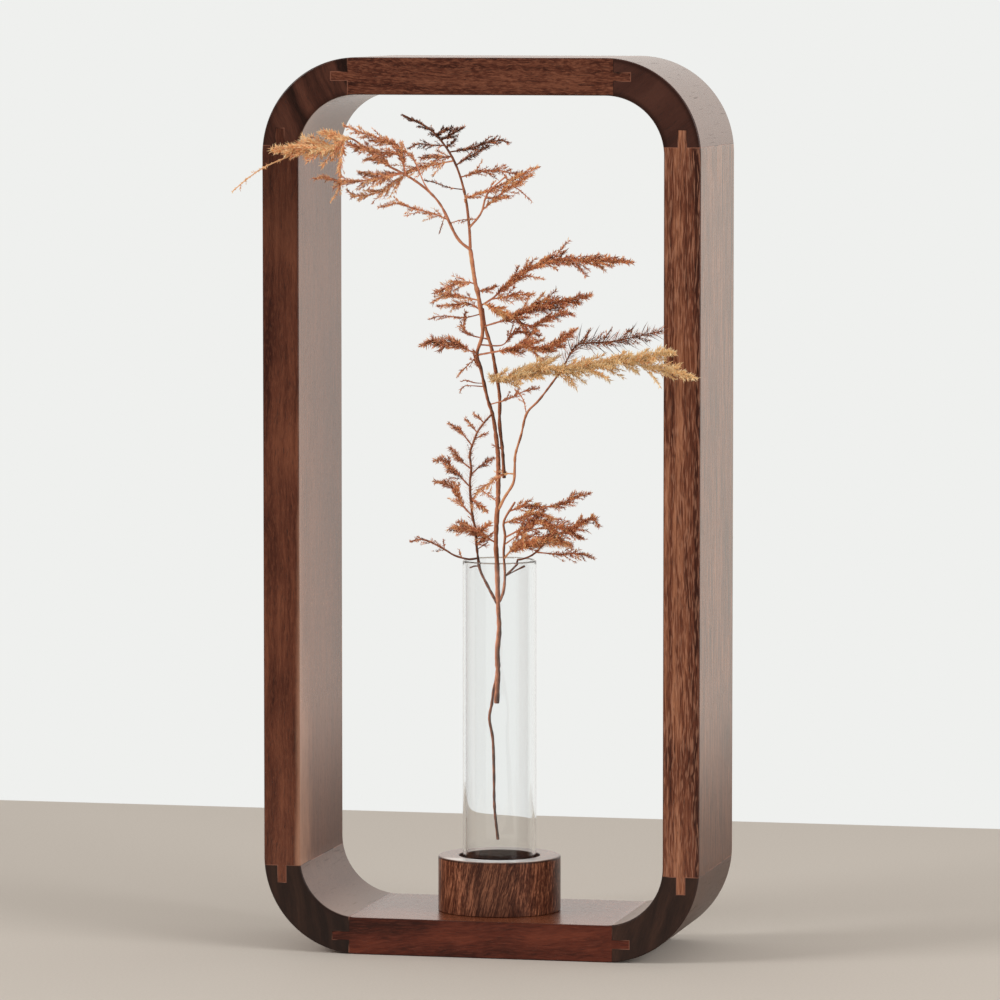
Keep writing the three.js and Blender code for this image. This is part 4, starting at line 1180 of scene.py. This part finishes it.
# Sprays straight on a stem, given as a frond's are, and combs on a stem or a frond: the needles' length
# and spacing, the bare share of the foot, the tone and the needles' half width.
STEM_SPRAYS = {
    "left_hook": (2.0, 0.5, 0.45, 0.34),
    "top_mid": (2.2, 0.32, 0.7, 0.06),
    "left": (1.2, 1.4, 0.3, 0.36),
}
COMBS = {
    "sprig_left_branch": [
        ("left", 4.6, 0.6, 0.3, 0.36, 0.06), ("L1", 2.4, 0.8, 0.1, 0.36, 0.07),
        ("L3", 2.4, 0.8, 0.1, 0.36, 0.07), ("L4", 2.6, 0.8, 0.1, 0.36, 0.07),
        ("L5", 2.6, 0.8, 0.1, 0.36, 0.07), ("LR1", 2.6, 0.8, 0.1, 0.36, 0.07),
    ],
    "sprig_right_branch": [
        ("r2", 2.2, 0.8, 0.1, 0.36, 0.05), ("r3", 2.2, 0.9, 0.3, 0.36, 0.05),
        ("r4", 2.2, 0.8, 0.1, 0.36, 0.05),
    ],
    "sprig_long_branch": [
        ("F8", 5.8, 0.4, 0.02, 0.3, 0.08), ("F8", 8.4, 1.9, 0.04, 0.12, 0.2),
    ],
    "sprig_crown": [
        ("t4", 2.0, 0.8, 0.1, 0.2, 0.05), ("t8", 2.0, 0.8, 0.1, 0.3, 0.05),
        ("t6", 2.2, 0.8, 0.1, 0.2, 0.05),
    ],
}

STEM_STEP = 1.5
TWIG_STEP = 1.2
paths = {name: smooth_path(from_rim(route), STEM_STEP) for name, route in STEMS.items()}

for node, stems in STEM_LOOKS.items():
    bunch = Bunch()
    for name, radii, tones, painted_left_light in stems:
        bunch.add(*limb(paths[name], radii, tones, 12, painted_left_light))
        if name in STEM_SPRAYS:
            bunch.needles(*spray(paths[name], *STEM_SPRAYS[name]))
    for name, host, tone, reach, gap, bare, route in FRONDS[node]:
        route = from_rim(route)
        route[0] = nearest_on(paths[host], route[0])
        path = paths[name] = smooth_path(route, TWIG_STEP)
        bunch.add(*limb(path, (0.16 + 0.06 * reach, 0.18), (tone - 0.10, tone - 0.06), 6))
        bunch.needles(*spray(path, reach, gap, bare, tone))
    for name, *values in COMBS.get(node, []):
        bunch.needles(*comb(paths[name], *values))
    place_piece(node + "_dried", bunch.mesh(node), PLANT, "sprig", node, crease=50)


# Stage


def stage_floor():
    """A plain pale floor with round corners and an eased edge, which ends close behind the stand."""
    reach, turn, drop, ease = 410.0, 60.0, 16.0, 3.0
    middle = reach - turn
    runs = [arc((sx * middle, sy * middle), turn, start, start + 90, 16)
            for (sx, sy), start in zip([(1, 1), (-1, 1), (-1, -1), (1, -1)], (0, 90, 180, 270))]
    outline, out = chained(*runs)
    bend = np.radians(np.linspace(0, 90, 7))
    inset = np.concatenate([[0], ease * (1 - np.cos(bend))])
    height = np.concatenate([[-drop], ease * (np.sin(bend) - 1)])
    flat = outline[None] - inset[:, None, None] * out[None]
    points = np.concatenate([flat, np.broadcast_to(height[:, None, None], (*flat.shape[:2], 1))], axis=-1)
    mesh = fill("floor", points.reshape(-1, 3), *closed_rings(len(height), len(outline)))
    material, cover = material_recipe("pale floor")
    mottle = cover.noise(cover.place(), (900.0, 900.0, 900.0), 2.0)
    shade = cover.ramp(mottle, [(0.3, paint(209, 201, 191)), (0.7, paint(214, 206, 196))])
    cover.surface(cover.principled({"Base Color": shade, "Roughness": 0.8, "IOR": 1.4}))
    dress(mesh, material, 20)
    floor = in_scene("floor", mesh)


def studio_world():
    """A white room for the camera and through glass, and a dimmer one as a lamp. In gloss the room is
    bright behind the stand and dark in front of it."""
    world = bpy.data.worlds.new("studio")
    bpy.context.scene.world = world
    world.use_nodes = True
    room = Recipe(world.node_tree)
    camera, glossy, through = [room.node("ShaderNodeLightPath", output=f"Is {kind} Ray")
                               for kind in ("Camera", "Glossy", "Transmission")]
    seen = room.higher(camera, through)
    shown = room.higher(seen, glossy)
    _, back, up = room.parts(room.node("ShaderNodeTexCoord", output="Generated"))
    sheen = 0.08 + room.rise(back, -0.2, 0.6) * (0.6 + room.rise(up, -0.25, 0.12) * 0.5)
    strength = seen + (1 - seen) * glossy * sheen + (1 - shown) * 0.5
    tint = room.mixed(seen, (1.0, 0.955, 0.905, 1.0), paint(239, 240, 238))
    glow = room.node("ShaderNodeBackground", inputs={"Color": tint, "Strength": strength})
    room.node("ShaderNodeOutputWorld", inputs={"Surface": glow})


def soft_light(name, at, toward, size, power):
    """A square area light at a place in metres, turned to a point."""
    lamp = bpy.data.lights.new(name, "AREA")
    lamp.size = size
    lamp.energy = power
    light = in_scene(name, lamp)
    light.location = at
    aim = np.array(toward) - np.array(at)
    flat = math.hypot(aim[0], aim[1])
    light.rotation_euler = (math.atan2(flat, -aim[2]), 0.0, math.atan2(aim[1], aim[0]) - math.pi / 2)


def photograph_camera():
    """The camera at the photograph's viewing angle, fitted to the frame's corners."""
    azimuth, elevation, focal_length = 12.70, 4.61, 234.3
    data = bpy.data.cameras.new("camera")
    data.sensor_width, data.lens = 36.0, focal_length
    data.clip_start, data.clip_end = 0.05, 50.0
    camera = in_scene("camera", data)
    camera.location = (0.5806, -2.5754, 0.3958)
    camera.rotation_euler = (math.radians(90 - elevation), 0.0, math.radians(azimuth))
    bpy.context.scene.camera = camera


stage_floor()
studio_world()
soft_light("key", (-1.8, -1.3, 1.6), (0.0, 0.0, 0.15), 1.0, 24.0)
soft_light("fill", (2.0, -0.9, 1.0), (0.0, 0.0, 0.2), 1.2, 26.0)
photograph_camera()
bpy.context.scene.view_settings.view_transform = "Standard"
